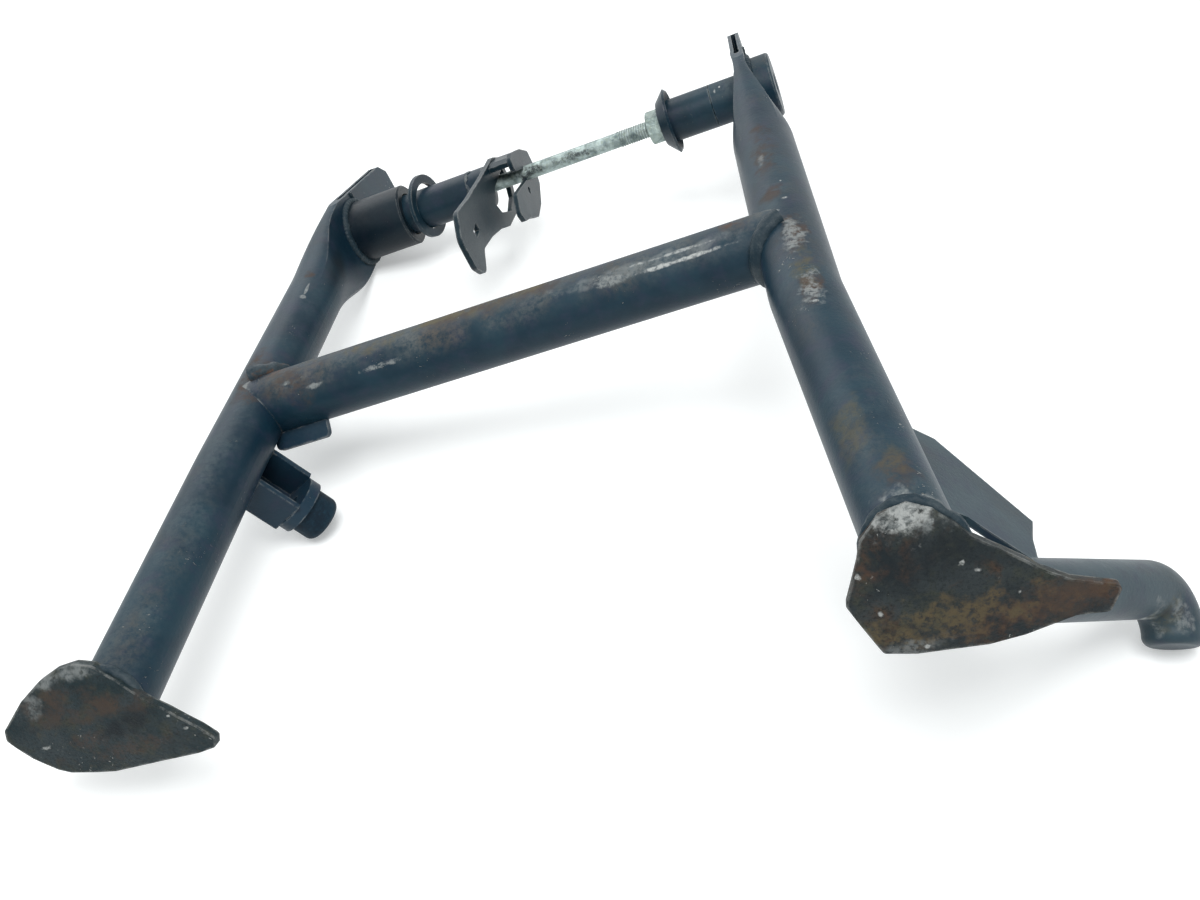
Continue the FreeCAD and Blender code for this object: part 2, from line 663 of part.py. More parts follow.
# outlines of the foot plates in their own frames: across, and to the front
SOLE_LEFT = [(22.5, 4), (13, 15.5), (4, 24), (-4, 26.5), (-14, 26), (-23, 23.3), (-35, 17),
             (-49, 6.5), (-50.5, 2), (-48, -2), (-43, -9), (-35, -17), (-30, -20), (-18, -23),
             (-10, -24.5), (15, -24.7), (31, -25), (40, -24), (42.5, -19.5), (38.5, -13),
             (28.5, -1.5)]
SOLE_RIGHT = [(-17, 13), (-19.8, 6), (-27.6, -8.5), (-20.6, -31), (-10, -34.2), (0, -35.3),
              (13.5, -36.9), (25.5, -36), (42.4, -32.4), (52.8, -34), (58.3, -24.5),
              (43.5, -17.8), (35, -11), (32, -7.5), (25, -1), (17.5, 5.5), (14, 11),
              (8, 17.5), (0.5, 21.5), (-9, 20)]


def sole(side, label, outline):
    """Foot plate: an outline cut from a sheet curved like a rocker."""
    prism = plate(label + "_prism", corners_of(outline), "Sizes.sole_rocker / 2")
    rounded(prism, "Sizes.sole_corner")
    doc.recompute()
    shape = prism.Shape.copy()
    shape.Placement = sole_frame(side)
    rocker = size("sole_rocker")
    return shape.common(sole_layer(side, rocker, rocker - size("sole_thickness")))


keep_shape("foot_plate_left", sole(LEFT, "foot_plate_left", SOLE_LEFT))
keep_shape("foot_plate_right", sole(RIGHT, "foot_plate_right", SOLE_RIGHT))


def tang_points():
    """Root, bend and tip of the tang tube's axis."""
    root = leg_point(RIGHT, -size("right_sole_drop"))
    root += Vector(size("tang_root_out"), size("tang_root_up"), -size("tang_root_back"))
    bend = root + Vector(size("tang_out"), size("tang_up"), -size("tang_back"))
    tip = bend + Vector(-size("tip_in"), -size("tip_down"), -size("tip_back"))
    return root, bend, tip


def tang_solid(inset, cap):
    """Bent tang tube as a solid, its outside moved in by inset, short of the tip by cap."""
    root, bend, tip = tang_points()
    first = (bend - root).normalize()
    second = (tip - bend).normalize()
    turn = first.getAngle(second)
    setback = size("tang_bend_radius") * math.tan(turn / 2)
    inward = (second - first).normalize()
    to_arc = size("tang_bend_radius") * (1 / math.cos(turn / 2) - 1)
    start, end = bend - first * setback, bend + second * setback
    path = Part.Wire([Part.makeLine(root, start), arc_through(start, bend + inward * to_arc, end),
                      Part.makeLine(end, tip - second * cap)])
    ring = Part.Wire(Part.makeCircle(size("tang_diameter") / 2 - inset, root, first))
    return path.makePipeShell([ring], True, False)


def tang():
    """Tang tube with its closed, rounded tip, its root cut to the leg and the foot plate."""
    root, bend, tip = tang_points()
    outside = tang_solid(0, 0)
    rim = [edge for edge in outside.Edges if (edge.CenterOfMass - tip).Length < 1]
    outside = outside.makeFillet(size("tang_tip_round"), rim)
    tube = outside.cut(tang_solid(size("tang_wall"), size("tang_cap")))
    rocker = size("sole_rocker")
    below = sole_layer(RIGHT, rocker + 4 * size("tang_diameter"), rocker - size("sole_thickness"))
    tube = tube.cut(below).cut(legs[RIGHT])
    return max(tube.Solids, key=lambda solid: solid.Volume)


keep_shape("tang_tube", tang())

# outline of the gusset: up the leg, and from the leg's axis towards the tang
GUSSET = [(44, 6), (40, 37), (8, 72), (-4, 66), (-18, 62), (-9, 42), (-5, 34), (-5, 6)]


def gusset():
    """Gusset plate between the right leg and the tang, cut to the round of both."""
    body = plate("gusset_blank", corners_of(GUSSET), "Sizes.gusset_thickness")
    doc.recompute()
    root, bend, tip = tang_points()
    origin = leg_point(RIGHT, -size("right_sole_drop") + size("gusset_up"))
    shape = body.Shape.copy()
    shape.Placement = frame(origin, leg_down(RIGHT) * -1, bend - root)
    shape = shape.cut(legs[RIGHT]).cut(tang_solid(0, 0))
    return max(shape.Solids, key=lambda solid: solid.Volume)


keep_shape("tang_gusset", gusset())


def stop_frame():
    """Frame of the stop: x towards the rubber's end, y up the stand."""
    origin = leg_point(LEFT, -size("bracket_drop")) - ACROSS * size("bracket_offset")
    angle = math.radians(size("bracket_angle"))
    return frame(origin, Vector(math.sin(angle), 0, -math.cos(angle)), UPWARD)


def stop_bracket():
    """Stop bracket: a folded channel, cut to the round of the leg."""
    body = doc.addObject("PartDesign::Body", "stop_channel")
    sketch = sketch_on(body, "YZ_Plane", "stop_channel_section")
    side = "Sizes.bracket_width / 2"
    edge = "Sizes.bracket_depth / 2"
    wall = "Sizes.bracket_wall"
    closed_outline(sketch, [(f"-{side}", f"-{edge}"), (side, f"-{edge}"), (side, edge),
                            (f"{side} - {wall}", edge), (f"{side} - {wall}", f"{wall} - {edge}"),
                            (f"{wall} - {side}", f"{wall} - {edge}"), (f"{wall} - {side}", edge),
                            (f"-{side}", edge)])
    pad = body.newObject("PartDesign::Pad", "stop_channel_pad")
    pad.Profile = sketch
    bind(pad, Length="Sizes.bracket_length")
    doc.recompute()
    shape = body.Shape.copy()
    shape.Placement = stop_frame()
    shape = shape.cut(legs[LEFT])
    far = stop_frame().multVec(Vector(size("bracket_length"), 0, 0))
    return min(shape.Solids, key=lambda solid: solid.CenterOfMass.distanceToPoint(far))


keep_shape("stop_bracket", stop_bracket())
cup_start = "Sizes.bracket_length"
cup_end = "(Sizes.bracket_length + Sizes.cup_ring_length)"
seat = f"{cup_end} - Sizes.rubber_seat"
rubber_radius = "Sizes.rubber_diameter / 2"
stop_cup = turned("stop_cup", [(cup_start, "Sizes.stud_diameter / 2"),
                               (cup_start, "Sizes.cup_ring_diameter / 2"),
                               (cup_end, "Sizes.cup_ring_diameter / 2"),
                               (cup_end, f"{rubber_radius} + Sizes.side_gap"),
                               (seat, f"{rubber_radius} + Sizes.side_gap"),
                               (seat, "Sizes.stud_diameter / 2")])
keep("stop_cup", stop_cup, stop_frame())


def stop_rubber():
    """Rubber buffer with a rounded end, its stud moulded in and passing the cup."""
    start = size("bracket_length") + size("cup_ring_length") - size("rubber_seat")
    length = size("rubber_seat") + size("rubber_length")
    shape = Part.makeCylinder(size("rubber_diameter") / 2, length, Vector(start, 0, 0), ACROSS)
    rim = [edge for edge in shape.Edges if abs(edge.CenterOfMass.x - start - length) < 1e-6]
    shape = shape.makeFillet(size("rubber_round"), rim[:1])
    stud = Part.makeCylinder(size("stud_diameter") / 2, start - size("bracket_length"),
                             Vector(size("bracket_length"), 0, 0), ACROSS)
    shape = shape.fuse(stud)
    shape.Placement = stop_frame()
    return shape


keep_shape("stop_rubber", stop_rubber())


def cross_tab():
    """Tab welded along the underside of the cross tube beside the left leg."""
    angle = math.radians(size("tab_angle"))
    outward = Vector(0, -math.cos(angle), -math.sin(angle))
    middle = Vector(-size("tab_place"), 0, 0)
    place = frame(middle, ACROSS, outward)
    length, width, thickness = size("tab_length"), size("tab_width"), size("tab_thickness")
    start = Vector(-length / 2, 0, -thickness / 2)
    shape = Part.makeBox(length, tube_radius() + width, thickness, start)
    across = [edge for edge in shape.Edges
              if abs(edge.CenterOfMass.y - tube_radius() - width) < 1e-6
              and abs(edge.tangentAt(edge.FirstParameter).z) > 0.9]
    shape = shape.makeFillet(thickness, across)
    shape.Placement = place
    solid = Part.makeCylinder(tube_radius(), 2 * size("half_spread"),
                              Vector(-size("half_spread"), 0, 0), ACROSS)
    return shape.cut(solid).cut(legs[LEFT])


keep_shape("cross_tab", cross_tab())


def resting_upright():
    """Upright direction of the stand at rest on its left top, its stop and its tang."""
    groups = []
    for labels in (("leg_left", "ear_left", "boss_left"), ("stop_rubber",), ("tang_tube",)):
        points = []
        for label in labels:
            part, place = finished[label]
            shape = part.Shape.copy()
            shape.Placement = place
            points += shape.tessellate(size("side_gap") / 3)[0]
        groups.append(points)
    upright = FORWARD
    for _ in range(12):
        top, stop, tang_tip = [min(points, key=upright.dot) for points in groups]
        upright = (stop - top).cross(tang_tip - top).normalize()
    return upright


def lay_down():
    """Lay every sub-part on the ground, the whole stand's box centred on the origin."""
    upright = resting_upright()
    forward = upright.cross(ACROSS)
    turn = frame(Vector(0, 0, 0), forward.cross(upright), forward).inverse()
    shapes = []
    for part, place in finished.values():
        shape = part.Shape.copy()
        shape.Placement = turn.multiply(place)
        shapes.append(shape)
    box = Part.makeCompound(shapes).optimalBoundingBox(False)
    foot = Vector(box.Center.x, box.Center.y, box.ZMin)
    ground = Placement(foot * -1, FreeCAD.Rotation())
    for part, place in finished.values():
        part.Placement = ground.multiply(turn).multiply(place)
    return ground.multiply(turn)


doc.recompute()
lying = lay_down()
doc.recompute()

for item in doc.Objects:
    if "Invalid" in item.State or "Error" in item.State:
        raise RuntimeError(f"{item.Name} failed: {item.State}")
for label, (part, place) in finished.items():
    if part.Shape.isNull() or not part.Shape.isValid():
        raise RuntimeError(f"{label} has no valid shape")

os.makedirs("parts", exist_ok=True)
for label, (part, place) in finished.items():
    part.Shape.exportStep(f"parts/{label}.step")
print(len(finished), "sub-parts, pivot axis at", lying.multVec(pivot_point(0)),
      "along", lying.Rotation.multVec(ACROSS))
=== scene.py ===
"""Dresses a used motorcycle centre stand that lies on a pale studio floor.

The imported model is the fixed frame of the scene: its solids keep their shapes and get worn paint,
rust, bare steel or rubber, and the weld beads, threads and torn paint are added on top of them.
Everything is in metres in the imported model's own frame, with the floor at z = 0.
"""
from __future__ import annotations

import json
import logging
import math
from dataclasses import dataclass, field
from enum import Enum
from typing import Any, Iterable, Sequence

import bpy
from mathutils import Matrix, Vector
from mathutils.bvhtree import BVHTree

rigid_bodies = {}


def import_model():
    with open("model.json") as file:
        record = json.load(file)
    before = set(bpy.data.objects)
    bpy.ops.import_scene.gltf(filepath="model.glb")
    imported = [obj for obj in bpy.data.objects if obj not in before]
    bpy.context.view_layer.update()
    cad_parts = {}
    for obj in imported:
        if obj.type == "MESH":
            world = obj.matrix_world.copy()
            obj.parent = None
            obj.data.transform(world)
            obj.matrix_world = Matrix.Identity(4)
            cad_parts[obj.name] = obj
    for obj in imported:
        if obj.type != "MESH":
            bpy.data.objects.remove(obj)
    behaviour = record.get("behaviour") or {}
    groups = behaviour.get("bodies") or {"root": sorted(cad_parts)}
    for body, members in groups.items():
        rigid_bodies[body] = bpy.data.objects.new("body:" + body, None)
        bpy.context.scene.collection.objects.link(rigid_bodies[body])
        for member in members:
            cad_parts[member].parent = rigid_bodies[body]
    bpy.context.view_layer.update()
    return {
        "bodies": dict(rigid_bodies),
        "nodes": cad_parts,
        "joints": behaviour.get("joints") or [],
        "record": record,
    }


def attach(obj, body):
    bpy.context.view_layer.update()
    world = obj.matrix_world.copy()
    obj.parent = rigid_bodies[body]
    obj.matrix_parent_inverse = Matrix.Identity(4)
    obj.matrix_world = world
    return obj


LOG = logging.getLogger("centre_stand")
MM = 0.001

# The pivot axis on the upright stand, above the cross tube and out from it, in millimetres.
PIVOT_UP = 190.0
PIVOT_OUT = -7.0

# A direction steeper than this has no side that can be taken from the vertical.
STEEP = 0.9

Point = tuple[float, float, float]
Colour = tuple[float, float, float]


class Body(Enum):
    """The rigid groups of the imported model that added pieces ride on."""

    STAND = "stand"
    LEFT_SLEEVE = "left_sleeve"
    ROD = "rod"


class Slot(Enum):
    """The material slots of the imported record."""

    PAINT = "painted_steel"
    ZINC = "zinc"


# Sets the stand's own axes (across, up the legs, out of its front face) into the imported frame.
LAY = Matrix((
    (0.9770563, 0.0262927, -0.2113519, -35.074946),
    (0.0, 0.9923507, 0.1234507, -21.852960),
    (0.2129810, -0.1206183, 0.9695825, 82.188583),
    (0.0, 0.0, 0.0, 1.0),
))


def laid(point: Sequence[float]) -> Vector:
    """Return a point of the upright stand, in millimetres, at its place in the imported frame."""
    return (LAY @ Vector(point)) * MM


def laid_direction(direction: Sequence[float]) -> Vector:
    """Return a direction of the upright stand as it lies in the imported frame."""
    return (LAY.to_3x3() @ Vector(direction)).normalized()


class Board:
    """A node tree with short ways to add nodes and to join them."""

    def __init__(self, tree: bpy.types.NodeTree) -> None:
        """Keep the tree that the nodes go into."""
        self.tree = tree

    def node(self, kind: str, **settings: Any) -> bpy.types.Node:
        """Add a node of one kind and set its properties."""
        made = self.tree.nodes.new(kind)
        for name, value in settings.items():
            setattr(made, name, value)
        return made

    def feed(self, socket: bpy.types.NodeSocket, source: Any) -> None:
        """Give an input a value, or join it to the output it comes from."""
        if isinstance(source, bpy.types.NodeSocket):
            self.tree.links.new(source, socket)
        else:
            socket.default_value = source

    def step(self, kind: str, gives: str, settings: dict[str, Any] | None = None,
             **inputs: Any) -> bpy.types.NodeSocket:
        """Add a node, feed its inputs and return one of its outputs.

        Args:
            kind: The node's type.
            gives: The name of the output.
            settings: The node's properties.
            inputs: Inputs by name, with underscores for spaces.
        """
        made = self.node(kind, **(settings or {}))
        for name, value in inputs.items():
            self.feed(made.inputs[name.replace("_", " ")], value)
        return made.outputs[gives]

    def vector(self, operation: str, gives: str, *values: Any) -> bpy.types.NodeSocket:
        """Return one output of an arithmetic step on vectors."""
        made = self.node("ShaderNodeVectorMath", operation=operation)
        for socket, value in zip(made.inputs, values):
            self.feed(socket, value)
        return made.outputs[gives]

    def math(self, operation: str, *values: Any) -> bpy.types.NodeSocket:
        """Return the result of one arithmetic step on numbers or outputs."""
        made = self.node("ShaderNodeMath", operation=operation)
        for socket, value in zip(made.inputs, values):
            self.feed(socket, value)
        return made.outputs[0]

    def times(self, first: Any, second: Any) -> bpy.types.NodeSocket:
        """Return the product of two numbers or outputs."""
        return self.math("MULTIPLY", first, second)

    def mix(self, factor: Any, first: Any, second: Any) -> bpy.types.NodeSocket:
        """Return the first colour where the factor is 0 and the second where it is 1."""
        made = self.node("ShaderNodeMix", data_type="RGBA")
        self.feed(made.inputs[0], factor)
        self.feed(made.inputs[6], opaque(first))
        self.feed(made.inputs[7], opaque(second))
        return made.outputs[2]

    def blend(self, factor: Any, first: Any, second: Any) -> bpy.types.NodeSocket:
        """Return the first number where the factor is 0 and the second where it is 1."""
        made = self.node("ShaderNodeMix", data_type="FLOAT")
        for index, value in ((0, factor), (2, first), (3, second)):
            self.feed(made.inputs[index], value)
        return made.outputs[0]

    def span(self, value: Any, low: Any, high: Any) -> bpy.types.NodeSocket:
        """Return a value that goes smoothly from 0 to 1 as the input goes from low to high."""
        made = self.node("ShaderNodeMapRange", interpolation_type="SMOOTHSTEP")
        for index, part in enumerate((value, low, high)):
            self.feed(made.inputs[index], part)
        return made.outputs[0]

    def noise(self, place: Any, scale: Any, detail: float = 4.0, rough: float = 0.55,
              warp: float = 0.0) -> bpy.types.NodeSocket:
        """Return a cloudy value between 0 and 1."""
        return self.step("ShaderNodeTexNoise", "Fac", Vector=place, Scale=scale, Detail=detail,
                         Roughness=rough, Distortion=warp)


def opaque(colour: Any) -> Any:
    """Return a colour with its alpha, and anything else as it is."""
    if isinstance(colour, tuple) and len(colour) == 3:
        return (*colour, 1.0)
    return colour


@dataclass(frozen=True)
class Socket:
    """One named input or output of a shader node group."""

    name: str
    kind: str
    value: Any = None


class Effect:
    """A shader node group that more than one finish uses."""

    title = "effect"
    takes: tuple[Socket, ...] = ()
    gives: tuple[Socket, ...] = ()

    def __init__(self) -> None:
        """Build the group's sockets and its nodes once."""
        self.group = bpy.data.node_groups.new(self.title, "ShaderNodeTree")
        for direction, sockets in (("INPUT", self.takes), ("OUTPUT", self.gives)):
            for socket in sockets:
                made = self.group.interface.new_socket(
                    name=socket.name, in_out=direction, socket_type=socket.kind)
                if socket.value is not None:
                    made.default_value = socket.value
        self.board = Board(self.group)
        self.given = self.board.node("NodeGroupInput").outputs
        self.result = self.board.node("NodeGroupOutput").inputs
        self.wire()

    def wire(self) -> None:
        """Join the group's nodes."""
        raise NotImplementedError

    def use(self, board: Board, **values: Any) -> bpy.types.bpy_prop_collection:
        """Place the group in a material.

        Args:
            board: The material's tree.
            values: Inputs by name, with underscores for spaces.

        Returns:
            The outputs of the placed group.
        """
        placed = board.node("ShaderNodeGroup", node_tree=self.group)
        for name, value in values.items():
            board.feed(placed.inputs[name.replace("_", " ")], opaque(value))
        return placed.outputs


FLOAT = "NodeSocketFloat"
VECTOR = "NodeSocketVector"
COLOUR = "NodeSocketColor"


class Mottle(Effect):
    """Cloudy drift between a paint's own colour, its faded colour and a tint."""

    title = "mottle"
    takes = (
        Socket("Vector", VECTOR), Socket("Paint", COLOUR), Socket("Faded", COLOUR),
        Socket("Tint", COLOUR), Socket("Fade", FLOAT, 0.5), Socket("Scale", FLOAT, 30.0),
    )
    gives = (Socket("Color", COLOUR), Socket("Gloss", FLOAT))

    def wire(self) -> None:
        """Mix the three colours by two clouds, and give the gloss a finer cloud."""
        board = self.board
        place, scale = self.given["Vector"], self.given["Scale"]
        cloud = board.noise(place, scale, 5.0, 0.6, 0.6)
        fine = board.noise(place, board.times(scale, 4.3), 4.0, 0.65, 0.3)
        faded = board.times(board.span(cloud, 0.36, 0.68), self.given["Fade"])
        tinted = board.times(board.span(fine, 0.46, 0.72), self.given["Fade"])
        colour = board.mix(faded, self.given["Paint"], self.given["Faded"])
        board.feed(self.result["Color"], board.mix(tinted, colour, self.given["Tint"]))
        board.feed(self.result["Gloss"], board.blend(0.5, cloud, fine))


class Flecks(Effect):
    """Small ragged chips, denser where a cloud allows them."""

    title = "flecks"
    takes = (Socket("Vector", VECTOR), Socket("Scale", FLOAT, 220.0), Socket("Amount", FLOAT, 0.3))
    gives = (Socket("Mask", FLOAT), Socket("Rim", FLOAT))
    wobble = 0.004

    def wire(self) -> None:
        """Cut the near part of each cell out, with its size taken from a slow cloud."""
        board = self.board
        place, scale = self.given["Vector"], self.given["Scale"]
        ragged = board.step("ShaderNodeTexNoise", "Color", Vector=place, Scale=board.times(scale, 2.2))
        wobble = board.vector("MULTIPLY_ADD", "Vector", ragged, (self.wobble,) * 3, place)
        cells = board.step("ShaderNodeTexVoronoi", "Distance", Vector=wobble, Scale=scale)
        where = board.noise(place, board.times(scale, 0.12), 3.0)
        reach = board.times(board.span(where, 0.45, 0.75), self.given["Amount"])
        near = board.math("SUBTRACT", reach, cells)
        board.feed(self.result["Mask"], board.span(near, 0.0, 0.06))
        board.feed(self.result["Rim"], board.span(near, -0.10, 0.02))


class RustBloom(Effect):
    """Patches of rust with their own colours and a crusty height."""

    title = "rust_bloom"
    takes = (
        Socket("Vector", VECTOR), Socket("Scale", FLOAT, 60.0), Socket("Amount", FLOAT, 0.3),
        Socket("Dark", COLOUR), Socket("Light", COLOUR),
    )
    gives = (Socket("Mask", FLOAT), Socket("Color", COLOUR), Socket("Height", FLOAT))

    def wire(self) -> None:
        """Raise a cloud by the amount, and colour it by a finer one."""
        board = self.board
        place, scale = self.given["Vector"], self.given["Scale"]
        cloud = board.noise(place, scale, 8.0, 0.68, 0.4)
        fine = board.noise(place, board.times(scale, 5.0), 6.0, 0.7, 0.2)
        raised = board.math("ADD", cloud, board.math("SUBTRACT", self.given["Amount"], 0.5))
        board.feed(self.result["Mask"], board.span(raised, 0.5, 0.64))
        board.feed(self.result["Color"],
                   board.mix(board.span(fine, 0.32, 0.68), self.given["Dark"], self.given["Light"]))
        board.feed(self.result["Height"], board.blend(0.6, cloud, fine))


class Patch(Effect):
    """A ragged, broken spot about one place of the surface."""

    title = "patch"
    takes = (
        Socket("Vector", VECTOR), Socket("Centre", VECTOR), Socket("Size", VECTOR),
        Socket("Ragged", FLOAT, 0.6), Socket("Grain", FLOAT, 300.0), Socket("Core", FLOAT, 0.3),
        Socket("Strength", FLOAT, 1.0),
    )
    gives = (Socket("Mask", FLOAT),)

    def wire(self) -> None:
        """Fade out with the distance from the centre in sizes, torn and broken by two clouds."""
        board = self.board
        away = board.vector("SUBTRACT", "Vector", self.given["Vector"], self.given["Centre"])
        scaled = board.vector("DIVIDE", "Vector", away, self.given["Size"])
        length = board.vector("LENGTH", "Value", scaled)
        grain = self.given["Grain"]
        cloud = board.noise(self.given["Vector"], board.times(grain, 0.35), 4.0, 0.6)
        fine = board.noise(self.given["Vector"], grain, 6.0, 0.7, 0.3)
        torn = board.times(board.math("SUBTRACT", cloud, 0.5), self.given["Ragged"])
        edge = board.math("ADD", length, board.times(torn, 4.0))
        spot = board.span(edge, 1.15, self.given["Core"])
        broken = board.blend(self.given["Ragged"], 1.0, board.span(fine, 0.38, 0.56))
        shown = board.times(board.times(spot, broken), self.given["Strength"])
        board.feed(self.result["Mask"], board.math("MINIMUM", shown, 1.0))


class WornEdges(Effect):
    """The edges of a part, found by how far a rounded normal leaves the flat one."""

    title = "worn_edges"
    takes = (Socket("Vector", VECTOR), Socket("Width", FLOAT, 0.0012), Socket("Amount", FLOAT, 0.6))
    gives = (Socket("Mask", FLOAT),)

    def wire(self) -> None:
        """Compare the rounded and the flat normal, and let a cloud break the line up."""
        board = self.board
        rounded = board.step("ShaderNodeBevel", "Normal", {"samples": 4}, Radius=self.given["Width"])
        flat = board.node("ShaderNodeNewGeometry").outputs["Normal"]
        sharp = board.span(board.vector("DOT_PRODUCT", "Value", rounded, flat), 0.992, 0.90)
        broken = board.span(board.noise(self.given["Vector"], 170.0, 6.0, 0.65), 0.40, 0.60)
        shown = board.times(board.times(sharp, broken), self.given["Amount"])
        board.feed(self.result["Mask"], shown)


class DustAndTopLight(Effect):
    """Dusty, rust-filmed faces that look up, made paler partly as painted top light."""

    title = "dust_and_top_light"
    takes = (Socket("Vector", VECTOR), Socket("Amount", FLOAT, 0.5))
    gives = (Socket("Mask", FLOAT), Socket("Warm", FLOAT))

    def wire(self) -> None:
        """Take the upward part of the normal and break it up with a slow and a fine cloud."""
        board = self.board
        normal = board.node("ShaderNodeNewGeometry").outputs["Normal"]
        up = board.span(board.step("ShaderNodeSeparateXYZ", "Z", Vector=normal), 0.35, 1.0)
        slow = board.noise(self.given["Vector"], 24.0, 5.0, 0.62, 0.4)
        fine = board.noise(self.given["Vector"], 330.0, 6.0, 0.75)
        lit_dusty_tops = board.times(up, board.span(slow, 0.34, 0.68))
        grainy = board.times(lit_dusty_tops, board.span(fine, 0.30, 0.66))
        board.feed(self.result["Mask"], board.times(grainy, self.given["Amount"]))
        board.feed(self.result["Warm"], board.span(
            board.noise(self.given["Vector"], 31.0, 5.0, 0.6, 0.2), 0.44, 0.66))


class Effects:
    """The shared groups, each built once."""

    def __init__(self) -> None:
        """Build every group that the finishes place."""
        self.mottle = Mottle()
        self.flecks = Flecks()
        self.rust = RustBloom()
        self.patch = Patch()
        self.edges = WornEdges()
        self.dust_and_top_light = DustAndTopLight()


class Trace(Enum):
    """What a mark on the paint leaves to see."""

    BARE = "bare metal"
    # Pale marks are worn paint; the long streak on the cross tube is also a painted highlight.
    PALE_WEAR_AND_HIGHLIGHT = "worn pale"
    BROWN = "rust brown"
    ORANGE = "fresh rust"
    OCHRE = "yellow stain"
    # Dark marks: some are grime, and some are painted shade, such as the shade in the dented hollow of
    # a leg's flattened top.
    DARK = "dark grime"


@dataclass(frozen=True)
class Mark:
    """One mark on a part, at its place on the upright stand in millimetres."""

    trace: Trace
    at: Point
    size: Point
    strength: float = 1.0
    ragged: float = 0.6
    grain: float = 300.0
    core: float = 0.2


# A chip's rim is torn, so its bright middle takes up this share of its size.
CHIP_SHARE = 0.7


def chip(at: Point, size: Point) -> Mark:
    """Return a small bright chip in the paint."""
    across, up, out = (CHIP_SHARE * n for n in size)
    return Mark(Trace.BARE, at, (across, up, out), 0.8, 0.75, 1100.0, 0.4)


@dataclass(frozen=True)
class Shade:
    """A colour, how rough it is and how metallic."""

    colour: Colour
    rough: float
    metal: float = 0.0


TRACES: dict[Trace, Shade] = {
    Trace.BARE: Shade((0.40, 0.42, 0.41), 0.42, 0.2),
    Trace.PALE_WEAR_AND_HIGHLIGHT: Shade((0.20, 0.22, 0.22), 0.5),
    Trace.BROWN: Shade((0.058, 0.040, 0.030), 0.8),
    Trace.ORANGE: Shade((0.090, 0.048, 0.029), 0.8),
    Trace.OCHRE: Shade((0.090, 0.078, 0.040), 0.7),
    Trace.DARK: Shade((0.002, 0.006, 0.009), 0.5),
}


class Finish:
    """A finish that builds one material for each part it goes on."""

    name = "finish"

    def material(self, part: str, effects: Effects, marks: Iterable[Mark]) -> bpy.types.Material:
        """Build this finish's material for one part.

        Args:
            part: The part's name, which the material's name takes.
            effects: The shared node groups.
            marks: Marks that this part alone carries.

        Returns:
            The new material.
        """
        made = bpy.data.materials.new(f"{self.name}_{part}")
        made.use_nodes = True
        made.node_tree.nodes.clear()
        board = Board(made.node_tree)
        place = board.node("ShaderNodeTexCoord").outputs["Object"]
        self.lay(board, place, effects, tuple(marks))
        return made

    def lay(self, board: Board, place: Any, effects: Effects, marks: tuple[Mark, ...]) -> None:
        """Wire the finish's nodes into a material."""
        raise NotImplementedError

    @staticmethod
    def marked(board: Board, place: Any, effects: Effects, marks: tuple[Mark, ...],
               layers: list[Any]) -> list[Any]:
        """Lay the marks over a colour, a roughness and a metal value.

        Args:
            board: The material's tree.
            place: The Object coordinates.
            effects: The shared node groups.
            marks: The part's own marks.
            layers: The colour, roughness and metal value under the marks.

        Returns:
            The three values with every mark laid over them.
        """
        colour, rough, metal = layers
        if marks:
            upright = LAY.inverted()
            stood = board.node("ShaderNodeMapping", vector_type="POINT")
            board.feed(stood.inputs["Vector"], place)
            stood.inputs["Location"].default_value = upright.to_translation() * MM
            stood.inputs["Rotation"].default_value = upright.to_euler()
            place = stood.outputs[0]
        for mark in marks:
            mask = effects.patch.use(
                board, Vector=place, Centre=[n * MM for n in mark.at],
                Size=[n * MM for n in mark.size], Ragged=mark.ragged, Grain=mark.grain,
                Core=mark.core, Strength=mark.strength)["Mask"]
            shade = TRACES[mark.trace]
            colour = board.mix(mask, colour, shade.colour)
            rough = board.blend(mask, rough, shade.rough)
            metal = board.blend(mask, metal, shade.metal)
        return [colour, rough, metal]

    @staticmethod
    def surface(board: Board, layers: Sequence[Any], height: Any, depth: float,
                **settings: Any) -> None:
        """End a material in its shader.

        Args:
            board: The material's tree.
            layers: The colour, roughness and metal value.
            height: The height of the surface's grain, from 0 to 1.
            depth: How deep the grain is, in metres.
            settings: Constants for the shader's own sockets, with underscores for spaces.
        """
        shader = board.node("ShaderNodeBsdfPrincipled")
        for name, value in zip(("Base Color", "Roughness", "Metallic"), layers):
            board.feed(shader.inputs[name], value)
        for name, value in settings.items():
            shader.inputs[name.replace("_", " ")].default_value = value
        bump = board.node("ShaderNodeBump")
        bump.inputs["Distance"].default_value = depth
        board.feed(bump.inputs["Height"], height)
        board.feed(shader.inputs["Normal"], bump.outputs["Normal"])
        end = board.node("ShaderNodeOutputMaterial")
        board.feed(end.inputs["Surface"], shader.outputs["BSDF"])


